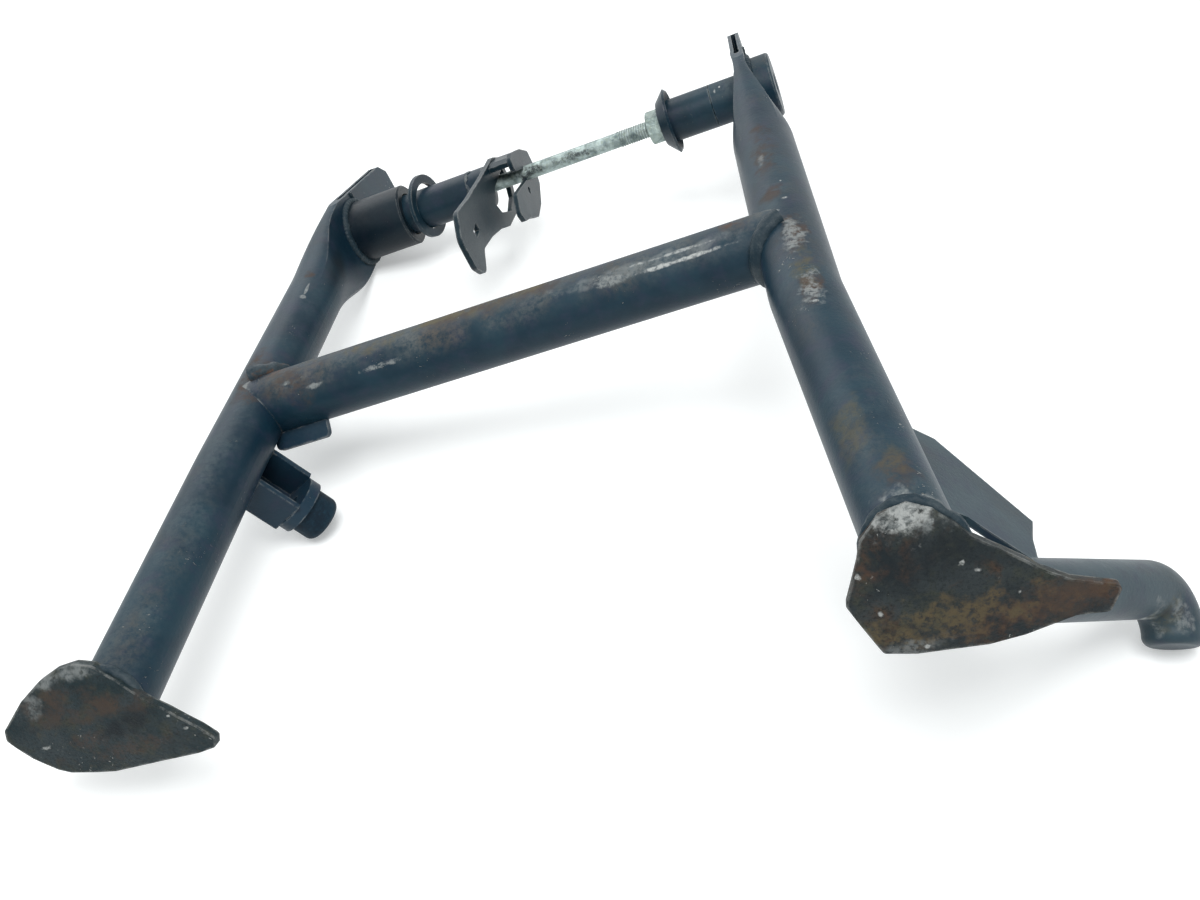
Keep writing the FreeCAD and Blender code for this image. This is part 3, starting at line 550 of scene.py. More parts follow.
@dataclass(frozen=True)
class WornPaint(Finish):
    """Black satin paint that has faded, chipped and let rust through."""

    name: str = "worn_paint"
    paint: Colour = (0.0025, 0.0165, 0.0300)
    faded: Colour = (0.012, 0.040, 0.058)
    tint: Colour = (0.018, 0.025, 0.048)
    # Colours and amount for up-facing faces: dusty and rust-filmed, and paler partly as painted top
    # light.
    dust_and_light_colour: Colour = (0.078, 0.105, 0.112)
    film_and_light_colour: Colour = (0.092, 0.078, 0.060)
    dust_and_top_light: float = 0.75
    fade: float = 0.6
    scale: float = 20.0
    rust: float = 0.25
    rust_dark: Colour = (0.030, 0.024, 0.020)
    rust_light: Colour = (0.092, 0.058, 0.038)
    chips: float = 0.20
    chip: Colour = (0.30, 0.32, 0.31)
    edge_width: float = 0.0014
    edge: float = 0.45
    smooth: float = 0.30
    dull: float = 0.50

    def lay(self, board: Board, place: Any, effects: Effects, marks: tuple[Mark, ...]) -> None:
        """Wire the paint: mottled base, dusty up-facing faces paler partly as painted top light, rust,
        chips, worn edges and the part's marks.
        """
        base = effects.mottle.use(
            board, Vector=place, Paint=self.paint, Faded=self.faded,
            Tint=self.tint, Fade=self.fade, Scale=self.scale)
        lit_dusty_tops = effects.dust_and_top_light.use(board, Vector=place, Amount=self.dust_and_top_light)
        bloom = effects.rust.use(
            board, Vector=place, Scale=48.0, Amount=self.rust,
            Dark=self.rust_dark, Light=self.rust_light)
        flecks = effects.flecks.use(board, Vector=place, Scale=420.0, Amount=self.chips)
        edges = effects.edges.use(
            board, Vector=place, Width=self.edge_width, Amount=self.edge)["Mask"]
        # Up-facing faces turn paler: dusty and rust-filmed, and partly painted top light.
        colour = board.mix(lit_dusty_tops["Mask"], base["Color"],
                           board.mix(lit_dusty_tops["Warm"], self.dust_and_light_colour, self.film_and_light_colour))
        rusted = board.times(bloom["Mask"], 0.8)
        colour = board.mix(rusted, colour, bloom["Color"])
        colour = board.mix(board.times(flecks["Rim"], 0.4), colour, self.rust_dark)
        bare = board.math("MAXIMUM", flecks["Mask"], edges)
        colour = board.mix(board.times(bare, 0.85), colour, self.chip)
        rough = board.blend(base["Gloss"], self.smooth, self.dull)
        rough = board.blend(board.math("MAXIMUM", rusted, lit_dusty_tops["Mask"]), rough, 0.8)
        metal = board.times(bare, 0.2)
        layers = self.marked(board, place, effects, marks, [colour, rough, metal])
        grain = board.noise(place, 620.0, 5.0, 0.65)
        crust = board.times(bloom["Height"], rusted)
        height = board.math("ADD", board.times(grain, 0.30), crust)
        height = board.math("SUBTRACT", height, board.times(flecks["Mask"], 0.4))
        self.surface(board, layers, height, 0.00040, Specular_IOR_Level=0.20)


@dataclass(frozen=True)
class RustyPlate(Finish):
    """Thick plate whose paint has mostly gone, pitted, grey-brown with ochre streaks."""

    name: str = "rusty_plate"
    dark: Colour = (0.006, 0.012, 0.015)
    grey: Colour = (0.028, 0.036, 0.038)
    brown: Colour = (0.026, 0.018, 0.015)
    light: Colour = (0.078, 0.047, 0.030)
    moss: Colour = (0.030, 0.035, 0.026)
    ochre: Colour = (0.078, 0.060, 0.030)
    edge: Colour = (0.24, 0.25, 0.24)
    speck: Colour = (0.003, 0.006, 0.008)
    brownness: float = 0.5
    chips: float = 0.26

    def lay(self, board: Board, place: Any, effects: Effects, marks: tuple[Mark, ...]) -> None:
        """Wire the plate: mottled scale, two rusts, bright flecks and a worn rim."""
        base = effects.mottle.use(
            board, Vector=place, Paint=self.dark, Faded=self.grey,
            Tint=self.moss, Fade=0.9, Scale=34.0)
        first = effects.rust.use(
            board, Vector=place, Scale=42.0, Amount=self.brownness,
            Dark=self.brown, Light=self.light)
        second = effects.rust.use(
            board, Vector=place, Scale=150.0, Amount=0.40,
            Dark=self.moss, Light=self.ochre)
        flecks = effects.flecks.use(board, Vector=place, Scale=340.0, Amount=self.chips)
        edges = effects.edges.use(board, Vector=place, Width=0.0018, Amount=0.9)["Mask"]
        colour = board.mix(board.times(first["Mask"], 0.85), base["Color"], first["Color"])
        colour = board.mix(board.times(second["Mask"], 0.65), colour, second["Color"])
        pitted = board.span(board.noise(place, 900.0, 6.0, 0.75), 0.48, 0.62)
        colour = board.mix(board.times(pitted, 0.65), colour, self.speck)
        colour = board.mix(board.math("MAXIMUM", flecks["Mask"], edges), colour, self.edge)
        rough = board.blend(first["Mask"], 0.55, 0.86)
        metal = board.times(flecks["Mask"], 0.3)
        layers = self.marked(board, place, effects, marks, [colour, rough, metal])
        height = board.math("ADD", first["Height"], board.times(second["Height"], 0.7))
        self.surface(board, layers, height, 0.0010, Specular_IOR_Level=0.18)


@dataclass(frozen=True)
class Zinc(Finish):
    """Dull zinc plating, mottled, with dark pits where it has gone."""

    name: str = "zinc"
    bright: Colour = (0.38, 0.46, 0.45)
    dull: Colour = (0.11, 0.15, 0.155)
    cast: Colour = (0.24, 0.29, 0.24)
    pit: Colour = (0.020, 0.026, 0.026)
    pits: float = 0.46

    def lay(self, board: Board, place: Any, effects: Effects, marks: tuple[Mark, ...]) -> None:
        """Wire the plating: cloudy zinc with pits and the part's marks."""
        base = effects.mottle.use(
            board, Vector=place, Paint=self.bright, Faded=self.dull,
            Tint=self.cast, Fade=1.0, Scale=150.0)
        flecks = effects.flecks.use(board, Vector=place, Scale=430.0, Amount=self.pits)
        colour = board.mix(flecks["Mask"], base["Color"], self.pit)
        rough = board.blend(base["Gloss"], 0.30, 0.62)
        metal = board.math("SUBTRACT", 0.6, board.times(flecks["Mask"], 0.5))
        layers = self.marked(board, place, effects, marks, [colour, rough, metal])
        grain = board.noise(place, 700.0, 4.0, 0.6)
        height = board.math("SUBTRACT", grain, flecks["Mask"])
        self.surface(board, layers, height, 0.0003)


@dataclass(frozen=True)
class OldRubber(Finish):
    """Hardened black rubber, pale and dusty in places."""

    name: str = "old_rubber"
    black: Colour = (0.003, 0.012, 0.022)
    dusty: Colour = (0.010, 0.036, 0.058)
    edge: Colour = (0.09, 0.09, 0.09)

    def lay(self, board: Board, place: Any, effects: Effects, marks: tuple[Mark, ...]) -> None:
        """Wire the rubber: dusty black with a fine crackle."""
        base = effects.mottle.use(
            board, Vector=place, Paint=self.black, Faded=self.dusty,
            Tint=self.dusty, Fade=0.5, Scale=90.0)
        edges = effects.edges.use(board, Vector=place, Width=0.0009, Amount=0.3)["Mask"]
        colour = board.mix(edges, base["Color"], self.edge)
        rough = board.blend(base["Gloss"], 0.5, 0.8)
        layers = self.marked(board, place, effects, marks, [colour, rough, 0.0])
        grain = board.noise(place, 1200.0, 5.0, 0.7)
        self.surface(board, layers, grain, 0.0002, Specular_IOR_Level=0.16)


@dataclass(frozen=True)
class WeldScale(Finish):
    """Weld metal under thin paint: dark, with rust in its ripples."""

    name: str = "weld_scale"
    paint: Colour = (0.005, 0.018, 0.028)
    worn: Colour = (0.038, 0.054, 0.062)
    rust_dark: Colour = (0.034, 0.027, 0.023)
    rust_light: Colour = (0.120, 0.066, 0.040)
    rust: float = 0.42

    def lay(self, board: Board, place: Any, effects: Effects, marks: tuple[Mark, ...]) -> None:
        """Wire the weld: mottled paint, rust and worn crests."""
        base = effects.mottle.use(
            board, Vector=place, Paint=self.paint, Faded=self.worn,
            Tint=self.worn, Fade=0.6, Scale=90.0)
        bloom = effects.rust.use(
            board, Vector=place, Scale=110.0, Amount=self.rust,
            Dark=self.rust_dark, Light=self.rust_light)
        colour = board.mix(board.times(bloom["Mask"], 0.85), base["Color"], bloom["Color"])
        rough = board.blend(bloom["Mask"], 0.42, 0.85)
        layers = self.marked(board, place, effects, marks, [colour, rough, 0.0])
        self.surface(board, layers, bloom["Height"], 0.0006, Specular_IOR_Level=0.20)


class BeadTree:
    """The node tree that lays a rippled weld bead along a path."""

    inputs = (("Radius", FLOAT, 0.0026), ("Pitch", FLOAT, 0.0024), ("Ripple", FLOAT, 0.16),
              ("Wander", FLOAT, 0.0007), ("Seed", FLOAT, 1.0))

    def __init__(self) -> None:
        """Build the tree once, with its sizes as named inputs."""
        self.tree = bpy.data.node_groups.new("weld_bead", "GeometryNodeTree")
        face = self.tree.interface
        face.new_socket(name="Path", in_out="INPUT", socket_type="NodeSocketGeometry")
        self.keys: dict[str, str] = {}
        for name, kind, value in self.inputs:
            made = face.new_socket(name=name, in_out="INPUT", socket_type=kind)
            made.default_value = value
            self.keys[name] = made.identifier
        finish = face.new_socket(name="Finish", in_out="INPUT", socket_type="NodeSocketMaterial")
        self.keys["Finish"] = finish.identifier
        face.new_socket(name="Bead", in_out="OUTPUT", socket_type="NodeSocketGeometry")
        self.wire()

    def wire(self) -> None:
        """Sweep a round profile along the path, thick and thin with each ripple."""
        board = Board(self.tree)
        given = board.node("NodeGroupInput").outputs
        line = board.step("GeometryNodeMeshToCurve", "Curve", Mesh=given["Path"])
        even = board.step("GeometryNodeResampleCurve", "Curve", {"mode": "LENGTH"}, Curve=line,
                          Length=board.times(given["Pitch"], 0.25))
        along = board.node("GeometryNodeSplineParameter").outputs["Length"]
        turns = board.math("DIVIDE", board.times(along, math.pi), given["Pitch"])
        crest = board.math("ABSOLUTE", board.math("SINE", turns))
        thick = board.math("ADD", 1.0, board.times(crest, given["Ripple"]))
        ring = board.step("GeometryNodeCurvePrimitiveCircle", "Curve", Resolution=12,
                          Radius=given["Radius"])
        swept = board.step("GeometryNodeCurveToMesh", "Mesh", Curve=even, Profile_Curve=ring,
                           Scale=thick, Fill_Caps=True)
        cloud = board.step("ShaderNodeTexNoise", "Color", {"noise_dimensions": "4D"}, Scale=190.0,
                           W=given["Seed"])
        push = board.vector("SUBTRACT", "Vector", cloud, (0.5, 0.5, 0.5))
        reach = board.step("ShaderNodeVectorMath", "Vector", {"operation": "SCALE"}, Vector=push,
                           Scale=board.times(given["Wander"], 2.0))
        moved = board.step("GeometryNodeSetPosition", "Geometry", Geometry=swept, Offset=reach)
        smooth = board.step("GeometryNodeSetShadeSmooth", "Geometry", Geometry=moved)
        real = board.step("GeometryNodeRealizeInstances", "Geometry", Geometry=smooth)
        dressed = board.step("GeometryNodeSetMaterial", "Geometry", Geometry=real,
                             Material=given["Finish"])
        board.feed(board.node("NodeGroupOutput").inputs["Bead"], dressed)


def plain_piece(name: str, tree: bpy.types.NodeTree, keys: dict[str, str],
                path: Sequence[Vector], closed: bool, **values: Any) -> bpy.types.Object:
    """Run a node tree on a path and keep the result as a plain mesh.

    Args:
        name: The new piece's name.
        tree: The Geometry Nodes tree.
        keys: The identifiers of the tree's inputs by name.
        path: The points of the path.
        closed: Whether the path's end joins its start.
        values: The tree's inputs by name.

    Returns:
        The new object, at the origin, with its place in its mesh.
    """
    edges = [(n, n + 1) for n in range(len(path) - 1)]
    if closed:
        edges.append((len(path) - 1, 0))
    line = bpy.data.meshes.new(name + "_path")
    line.from_pydata([tuple(point) for point in path], edges, [])
    holder = bpy.data.objects.new(name, line)
    bpy.context.scene.collection.objects.link(holder)
    run = holder.modifiers.new("tree", "NODES")
    run.node_group = tree
    for key, value in values.items():
        run[keys[key]] = value
    bpy.context.view_layer.update()
    graph = bpy.context.evaluated_depsgraph_get()
    finished = bpy.data.meshes.new_from_object(holder.evaluated_get(graph))
    holder.modifiers.clear()
    holder.data = finished
    finished.name = name
    bpy.data.meshes.remove(line)
    return holder


def new_object(name: str, points: Sequence[Sequence[float]], faces: Sequence[Sequence[int]],
               material: bpy.types.Material) -> bpy.types.Object:
    """Make a smooth mesh object from its points and faces."""
    mesh = bpy.data.meshes.new(name)
    mesh.from_pydata([tuple(point) for point in points], [], faces)
    mesh.materials.append(material)
    mesh.shade_smooth()
    made = bpy.data.objects.new(name, mesh)
    bpy.context.scene.collection.objects.link(made)
    return made


class Shop:
    """What every sub-assembly needs: the frame, the shared groups and the weld tree."""

    def __init__(self, frame: dict[str, Any]) -> None:
        """Keep the frame, and build what the sub-assemblies share."""
        self.nodes: dict[str, bpy.types.Object] = frame["nodes"]
        self.effects = Effects()
        self.bead = BeadTree()

    def dress(self, node: str, finish: Finish, marks: Iterable[Mark] = ()) -> None:
        """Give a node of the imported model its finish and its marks."""
        made = finish.material(node, self.effects, marks)
        mesh = self.nodes[node].data
        if mesh.materials:
            for index in range(len(mesh.materials)):
                mesh.materials[index] = made
        else:
            mesh.materials.append(made)
        LOG.info("dressed %s in %s", node, finish.name)

    def skin(self, *names: str) -> BVHTree:
        """Return the joined surface of some nodes, for rays to meet."""
        points: list[Vector] = []
        faces: list[tuple[int, ...]] = []
        for name in names:
            mesh = self.nodes[name].data
            start = len(points)
            points.extend(vertex.co.copy() for vertex in mesh.vertices)
            faces.extend(tuple(n + start for n in face.vertices) for face in mesh.polygons)
        return BVHTree.FromPolygons(points, faces)

    def add(self, piece: bpy.types.Object, body: Body, slot: Slot) -> None:
        """Let a new piece ride on its body."""
        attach(piece, body.value)
        LOG.info("built %s with %d faces", piece.name, len(piece.data.polygons))


def lay_bead(shop: Shop, name: str, path: Sequence[Vector], closed: bool, rust: float,
             **values: float) -> None:
    """Lay a bead along a path on the stand and give it its finish.

    Args:
        shop: What the sub-assemblies share.
        name: The new piece's name.
        path: The points where the bead lies.
        closed: Whether the bead's end joins its start.
        rust: How much rust shows in its ripples.
        values: The bead tree's inputs by name.
    """
    if len(path) < 3:
        LOG.warning("%s meets nothing", name)
        return
    scale = WeldScale(rust=rust).material(name, shop.effects, ())
    piece = plain_piece(name, shop.bead.tree, shop.bead.keys, path, closed,
                        Seed=float(len(name)), Finish=scale, **values)
    shop.add(piece, Body.STAND, Slot.PAINT)


@dataclass(frozen=True)
class RingSeam:
    """A weld round a tube that ends against another part."""

    name: str
    centre: Point
    along: Point
    radius: float
    onto: tuple[str, ...]
    bead: float = 2.6
    start: float = 0.0
    end: float = 360.0
    rust: float = 0.42
    reach: float = 60.0
    wander: float = 0.7
    pitch: float = 2.4
    ripple: float = 0.16

    def points(self, shop: Shop, count: int = 96) -> tuple[list[Vector], bool]:
        """Find where rays along the tube's surface meet the other part.

        Args:
            shop: Where the parts' surfaces come from.
            count: How many rays go round a whole ring.

        Returns:
            The longest unbroken run of points, and whether it closes on itself.
        """
        skin = shop.skin(*self.onto)
        along = laid_direction(self.along)
        centre = laid(self.centre)
        side = along.orthogonal().normalized() if abs(along.z) > STEEP else \
            (Vector((0, 0, 1)) - along * along.z).normalized()
        other = along.cross(side)
        whole = abs(self.end - self.start) >= 360.0
        hits: list[Vector | None] = []
        for step in range(count + (0 if whole else 1)):
            angle = math.radians(self.start + (self.end - self.start) * step / count)
            offset = (side * math.cos(angle) + other * math.sin(angle)) * self.radius * MM
            found = skin.ray_cast(centre + offset, along, self.reach * MM)
            hits.append(found[0])
        if whole and all(hits):
            return [hit for hit in hits if hit], True
        runs: list[list[Vector]] = [[]]
        for hit in hits + (hits if whole else []):
            if hit is None:
                runs.append([])
            elif len(runs[-1]) < count:
                runs[-1].append(hit)
        return max(runs, key=len), False

    def build(self, shop: Shop) -> None:
        """Lay the bead and give it its finish."""
        path, closed = self.points(shop)
        lay_bead(shop, self.name, path, closed, self.rust, Radius=self.bead * MM,
                 Pitch=self.pitch * MM, Ripple=self.ripple, Wander=self.wander * MM)


@dataclass(frozen=True)
class LineSeam:
    """A weld in a straight line, dropped onto the parts it joins."""

    name: str
    start: Point
    end: Point
    down: Point
    onto: tuple[str, ...]
    bead: float = 2.2
    rust: float = 0.42
    reach: float = 60.0

    def build(self, shop: Shop, count: int = 40) -> None:
        """Drop rays from the line onto the parts and lay the bead where they land."""
        skin = shop.skin(*self.onto)
        first, last, down = laid(self.start), laid(self.end), laid_direction(self.down)
        path = []
        for step in range(count + 1):
            found = skin.ray_cast(first.lerp(last, step / count), down, self.reach * MM)
            if found[0] is not None:
                path.append(found[0])
        lay_bead(shop, self.name, path, False, self.rust, Radius=self.bead * MM)


@dataclass
class WeldedFrame:
    """The two legs and the cross tube with their welds."""

    tube_radius: float = 15.9
    leg_bend: float = 146.2
    bend_drop: float = 49.0
    splay: float = 0.134
    set_back: float = 0.075
    leg_paint: WornPaint = field(default_factory=lambda: WornPaint(dust_and_top_light=0.45))
    # The cross tube's up-facing faces turn a paler grey: dusty, and partly painted top light.
    cross_paint: WornPaint = field(default_factory=lambda: WornPaint(dust_and_light_colour=(0.125, 0.132, 0.124)))

    right_marks: tuple[Mark, ...] = (
        Mark(Trace.BROWN, (138.0, 64.0, 15.8), (7.0, 26.0, 9.0), 0.7, 0.9, 170.0),
        Mark(Trace.PALE_WEAR_AND_HIGHLIGHT, (137.6, 53.1, 15.7), (2.0, 8.0, 4.0), 0.5, 0.9, 260.0),
        Mark(Trace.BROWN, (141.0, 20.0, 15.8), (8.0, 10.0, 8.0), 0.7, 0.9, 170.0),
        chip((145.7, 10.5, 15.6), (2.6, 1.3, 3.0)),
        chip((145.4, 27.7, 15.5), (1.0, 1.4, 2.0)),
        Mark(Trace.PALE_WEAR_AND_HIGHLIGHT, (138.9, -3.4, 15.7), (5.0, 4.6, 5.0), 0.45, 0.8, 420.0),
        chip((138.4, -8.6, 15.2), (1.8, 1.0, 2.4)),
        Mark(Trace.BROWN, (147.6, -23.0, 15.6), (6.4, 15.0, 8.0), 0.85, 0.7, 260.0, 0.4),
        Mark(Trace.PALE_WEAR_AND_HIGHLIGHT, (147.4, -22.0, 15.6), (5.0, 13.0, 8.0), 0.75, 1.0, 420.0, 0.3),
        Mark(Trace.OCHRE, (149.2, -52.0, 15.4), (5.0, 13.0, 8.0), 0.6, 0.8, 300.0, 0.3),
        Mark(Trace.BROWN, (151.0, -68.0, 14.4), (5.6, 12.0, 8.0), 0.85, 0.7, 260.0, 0.4),
        Mark(Trace.PALE_WEAR_AND_HIGHLIGHT, (151.2, -68.0, 14.2), (4.4, 11.0, 8.0), 0.8, 1.0, 420.0, 0.3),
        chip((151.8, -77.3, 13.7), (2.2, 1.4, 3.0)),
        Mark(Trace.OCHRE, (154.0, -152.9, 7.5), (8.0, 17.0, 11.0), 0.42, 0.7, 300.0),
        Mark(Trace.BROWN, (166.0, -176.0, 6.2), (11.0, 12.0, 12.0), 0.75, 0.8, 150.0),
        Mark(Trace.OCHRE, (168.5, -174.0, 5.6), (7.0, 9.0, 9.0), 0.42, 0.7, 300.0),
        Mark(Trace.PALE_WEAR_AND_HIGHLIGHT, (168.5, -196.0, 4.4), (12.0, 9.0, 9.0), 0.85, 0.9, 330.0, 0.3),
        Mark(Trace.BARE, (168.0, -198.0, 4.9), (8.0, 6.0, 8.0), 0.7, 1.0, 480.0, 0.3),
    )
    left_marks: tuple[Mark, ...] = (
        Mark(Trace.BROWN, (-140.0, 5.0, 15.0), (8.0, 24.0, 9.0), 0.75, 0.8, 190.0),
        Mark(Trace.BROWN, (-130.7, 104.7, 14.5), (4.0, 4.0, 5.0), 0.7, 0.8, 300.0),
        Mark(Trace.PALE_WEAR_AND_HIGHLIGHT, (-130.2, 91.0, 14.1), (0.7, 6.0, 3.0), 0.9, 0.6, 500.0, 0.5),
        Mark(Trace.PALE_WEAR_AND_HIGHLIGHT, (-130.9, 82.0, 13.8), (1.6, 1.8, 3.0), 0.8, 0.6, 500.0, 0.5),
        # Painted shade: the dark hollow where the tube is squashed into the flattened top.
        Mark(Trace.DARK, (-124.0, 126.0, 4.0), (6.0, 44.0, 9.0), 0.8, 0.3, 60.0),
        Mark(Trace.PALE_WEAR_AND_HIGHLIGHT, (-141.5, -144.0, 3.0), (2.2, 2.0, 5.0), 0.8, 0.8, 600.0, 0.4),
        Mark(Trace.PALE_WEAR_AND_HIGHLIGHT, (-142.8, -158.0, 3.0), (1.8, 1.4, 5.0), 0.7, 0.8, 600.0, 0.4),
    )
    cross_marks: tuple[Mark, ...] = (
        Mark(Trace.ORANGE, (-124.0, 8.0, 13.8), (9.0, 9.0, 8.0), 0.6, 0.9, 240.0),
        Mark(Trace.BROWN, (-112.0, -6.0, 13.5), (14.0, 13.0, 12.0), 0.6, 0.9, 200.0),
        Mark(Trace.PALE_WEAR_AND_HIGHLIGHT, (-100.6, -12.2, 10.2), (6.0, 1.1, 1.6), 0.9, 0.8, 520.0, 0.4),
        Mark(Trace.PALE_WEAR_AND_HIGHLIGHT, (-63.0, -12.6, 9.6), (13.0, 1.2, 1.7), 0.9, 0.9, 520.0, 0.4),
        Mark(Trace.PALE_WEAR_AND_HIGHLIGHT, (-115.5, -7.9, 13.8), (2.4, 1.4, 2.0), 0.9, 0.6, 520.0, 0.4),
        Mark(Trace.OCHRE, (-20.0, 3.0, 15.4), (62.0, 8.0, 7.0), 0.75, 0.9, 170.0),
        Mark(Trace.BROWN, (10.0, 1.0, 15.6), (60.0, 7.0, 7.0), 0.5, 0.9, 130.0),
        # Partly wear, partly painted highlight: the long pale streak along the tube's front top.
        Mark(Trace.PALE_WEAR_AND_HIGHLIGHT, (84.0, -6.6, 14.3), (46.0, 4.4, 4.0), 0.45, 0.7, 240.0, 0.3),
        Mark(Trace.BARE, (93.0, -9.8, 12.6), (24.0, 1.0, 1.4), 0.8, 0.7, 420.0, 0.4),
        Mark(Trace.BARE, (96.0, -5.6, 14.9), (19.0, 0.9, 1.8), 0.6, 0.9, 420.0, 0.4),
        Mark(Trace.PALE_WEAR_AND_HIGHLIGHT, (62.0, -8.8, 13.2), (10.0, 2.4, 3.0), 0.8, 0.9, 360.0, 0.4),
        Mark(Trace.ORANGE, (119.0, 1.0, 15.8), (7.0, 5.0, 5.0), 0.6, 0.9, 260.0),
    )

    def dress(self, shop: Shop) -> None:
        """Give the three tubes their paint and marks."""
        shop.dress("leg_left", self.leg_paint, self.left_marks)
        shop.dress("leg_right", self.leg_paint, self.right_marks)
        shop.dress("cross_tube", self.cross_paint, self.cross_marks)

    def weld(self, shop: Shop) -> None:
        """Lay the beads at both ends of the cross tube."""
        radius = self.tube_radius + 1.2
        RingSeam("weld_cross_left", (-90, 0, 0), (-1, 0, 0), radius, ("leg_left",),
                 bead=5.0, rust=0.50, wander=1.5, pitch=5.0, ripple=0.07).build(shop)
        RingSeam("weld_cross_right", (90, 0, 0), (1, 0, 0), radius, ("leg_right",),
                 bead=4.8, rust=0.28, wander=1.1, pitch=5.0, ripple=0.04).build(shop)


@dataclass
class LegTops:
    """The ears and the fixed pivot tubes that are welded to the legs' flattened tops."""

    paint: WornPaint = field(default_factory=lambda: WornPaint(edge=0.55, chips=0.24))
    # The left boss's paint is darkened as painted shade, for the deep shadow it lies in.
    boss_shade_paint: WornPaint = field(default_factory=lambda: WornPaint(
        paint=(0.002, 0.008, 0.014), faded=(0.006, 0.017, 0.025), tint=(0.007, 0.011, 0.019),
        dust_and_top_light=0.15, chips=0.1, edge=0.3))

    def dress(self, shop: Shop) -> None:
        """Give ears, collar and stub their paint, and the boss a darker paint that carries painted
        shade.
        """
        for node in ("ear_left", "collar_right"):
            shop.dress(node, self.paint)
        # The left boss takes the darker paint: painted shade.
        shop.dress("boss_left", self.boss_shade_paint)
        shop.dress("ear_right", self.paint, (
            chip((130.5, 207.0, 20.0), (2.4, 1.6, 3.0)),
            Mark(Trace.PALE_WEAR_AND_HIGHLIGHT, (132.0, 250.0, 12.0), (8.0, 16.0, 12.0), 0.5, 0.9, 300.0)))
        shop.dress("stub_right", self.paint, (
            chip((113.6, 183.4, 3.6), (1.4, 2.2, 2.2)),
            chip((117.0, 185.6, 4.6), (0.9, 1.0, 1.4))))

    def weld(self, shop: Shop) -> None:
        """Lay the beads round the pivot tubes and across the ears' feet."""
        up, out = PIVOT_UP, PIVOT_OUT
        RingSeam("weld_boss", (-100, up, out), (-1, 0, 0), 19.6, ("leg_left", "ear_left"),
                 bead=2.4, rust=0.35).build(shop)
        RingSeam("weld_collar", (146, up, out), (-1, 0, 0), 19.0, ("leg_right", "ear_right"),
                 bead=2.2, rust=0.35).build(shop)
        RingSeam("weld_stub", (112, up, out), (1, 0, 0), 13.2, ("leg_right", "ear_right"),
                 bead=1.6, rust=0.35).build(shop)
        LineSeam("weld_ear_left", (-120, 202, -26), (-120, 202, 19), (-1, 0, 0),
                 ("leg_left", "ear_left"), bead=1.4).build(shop)
        LineSeam("weld_ear_right", (160, 202, -26), (160, 202, 19), (-1, 0, 0),
                 ("leg_right", "ear_right"), bead=1.4).build(shop)


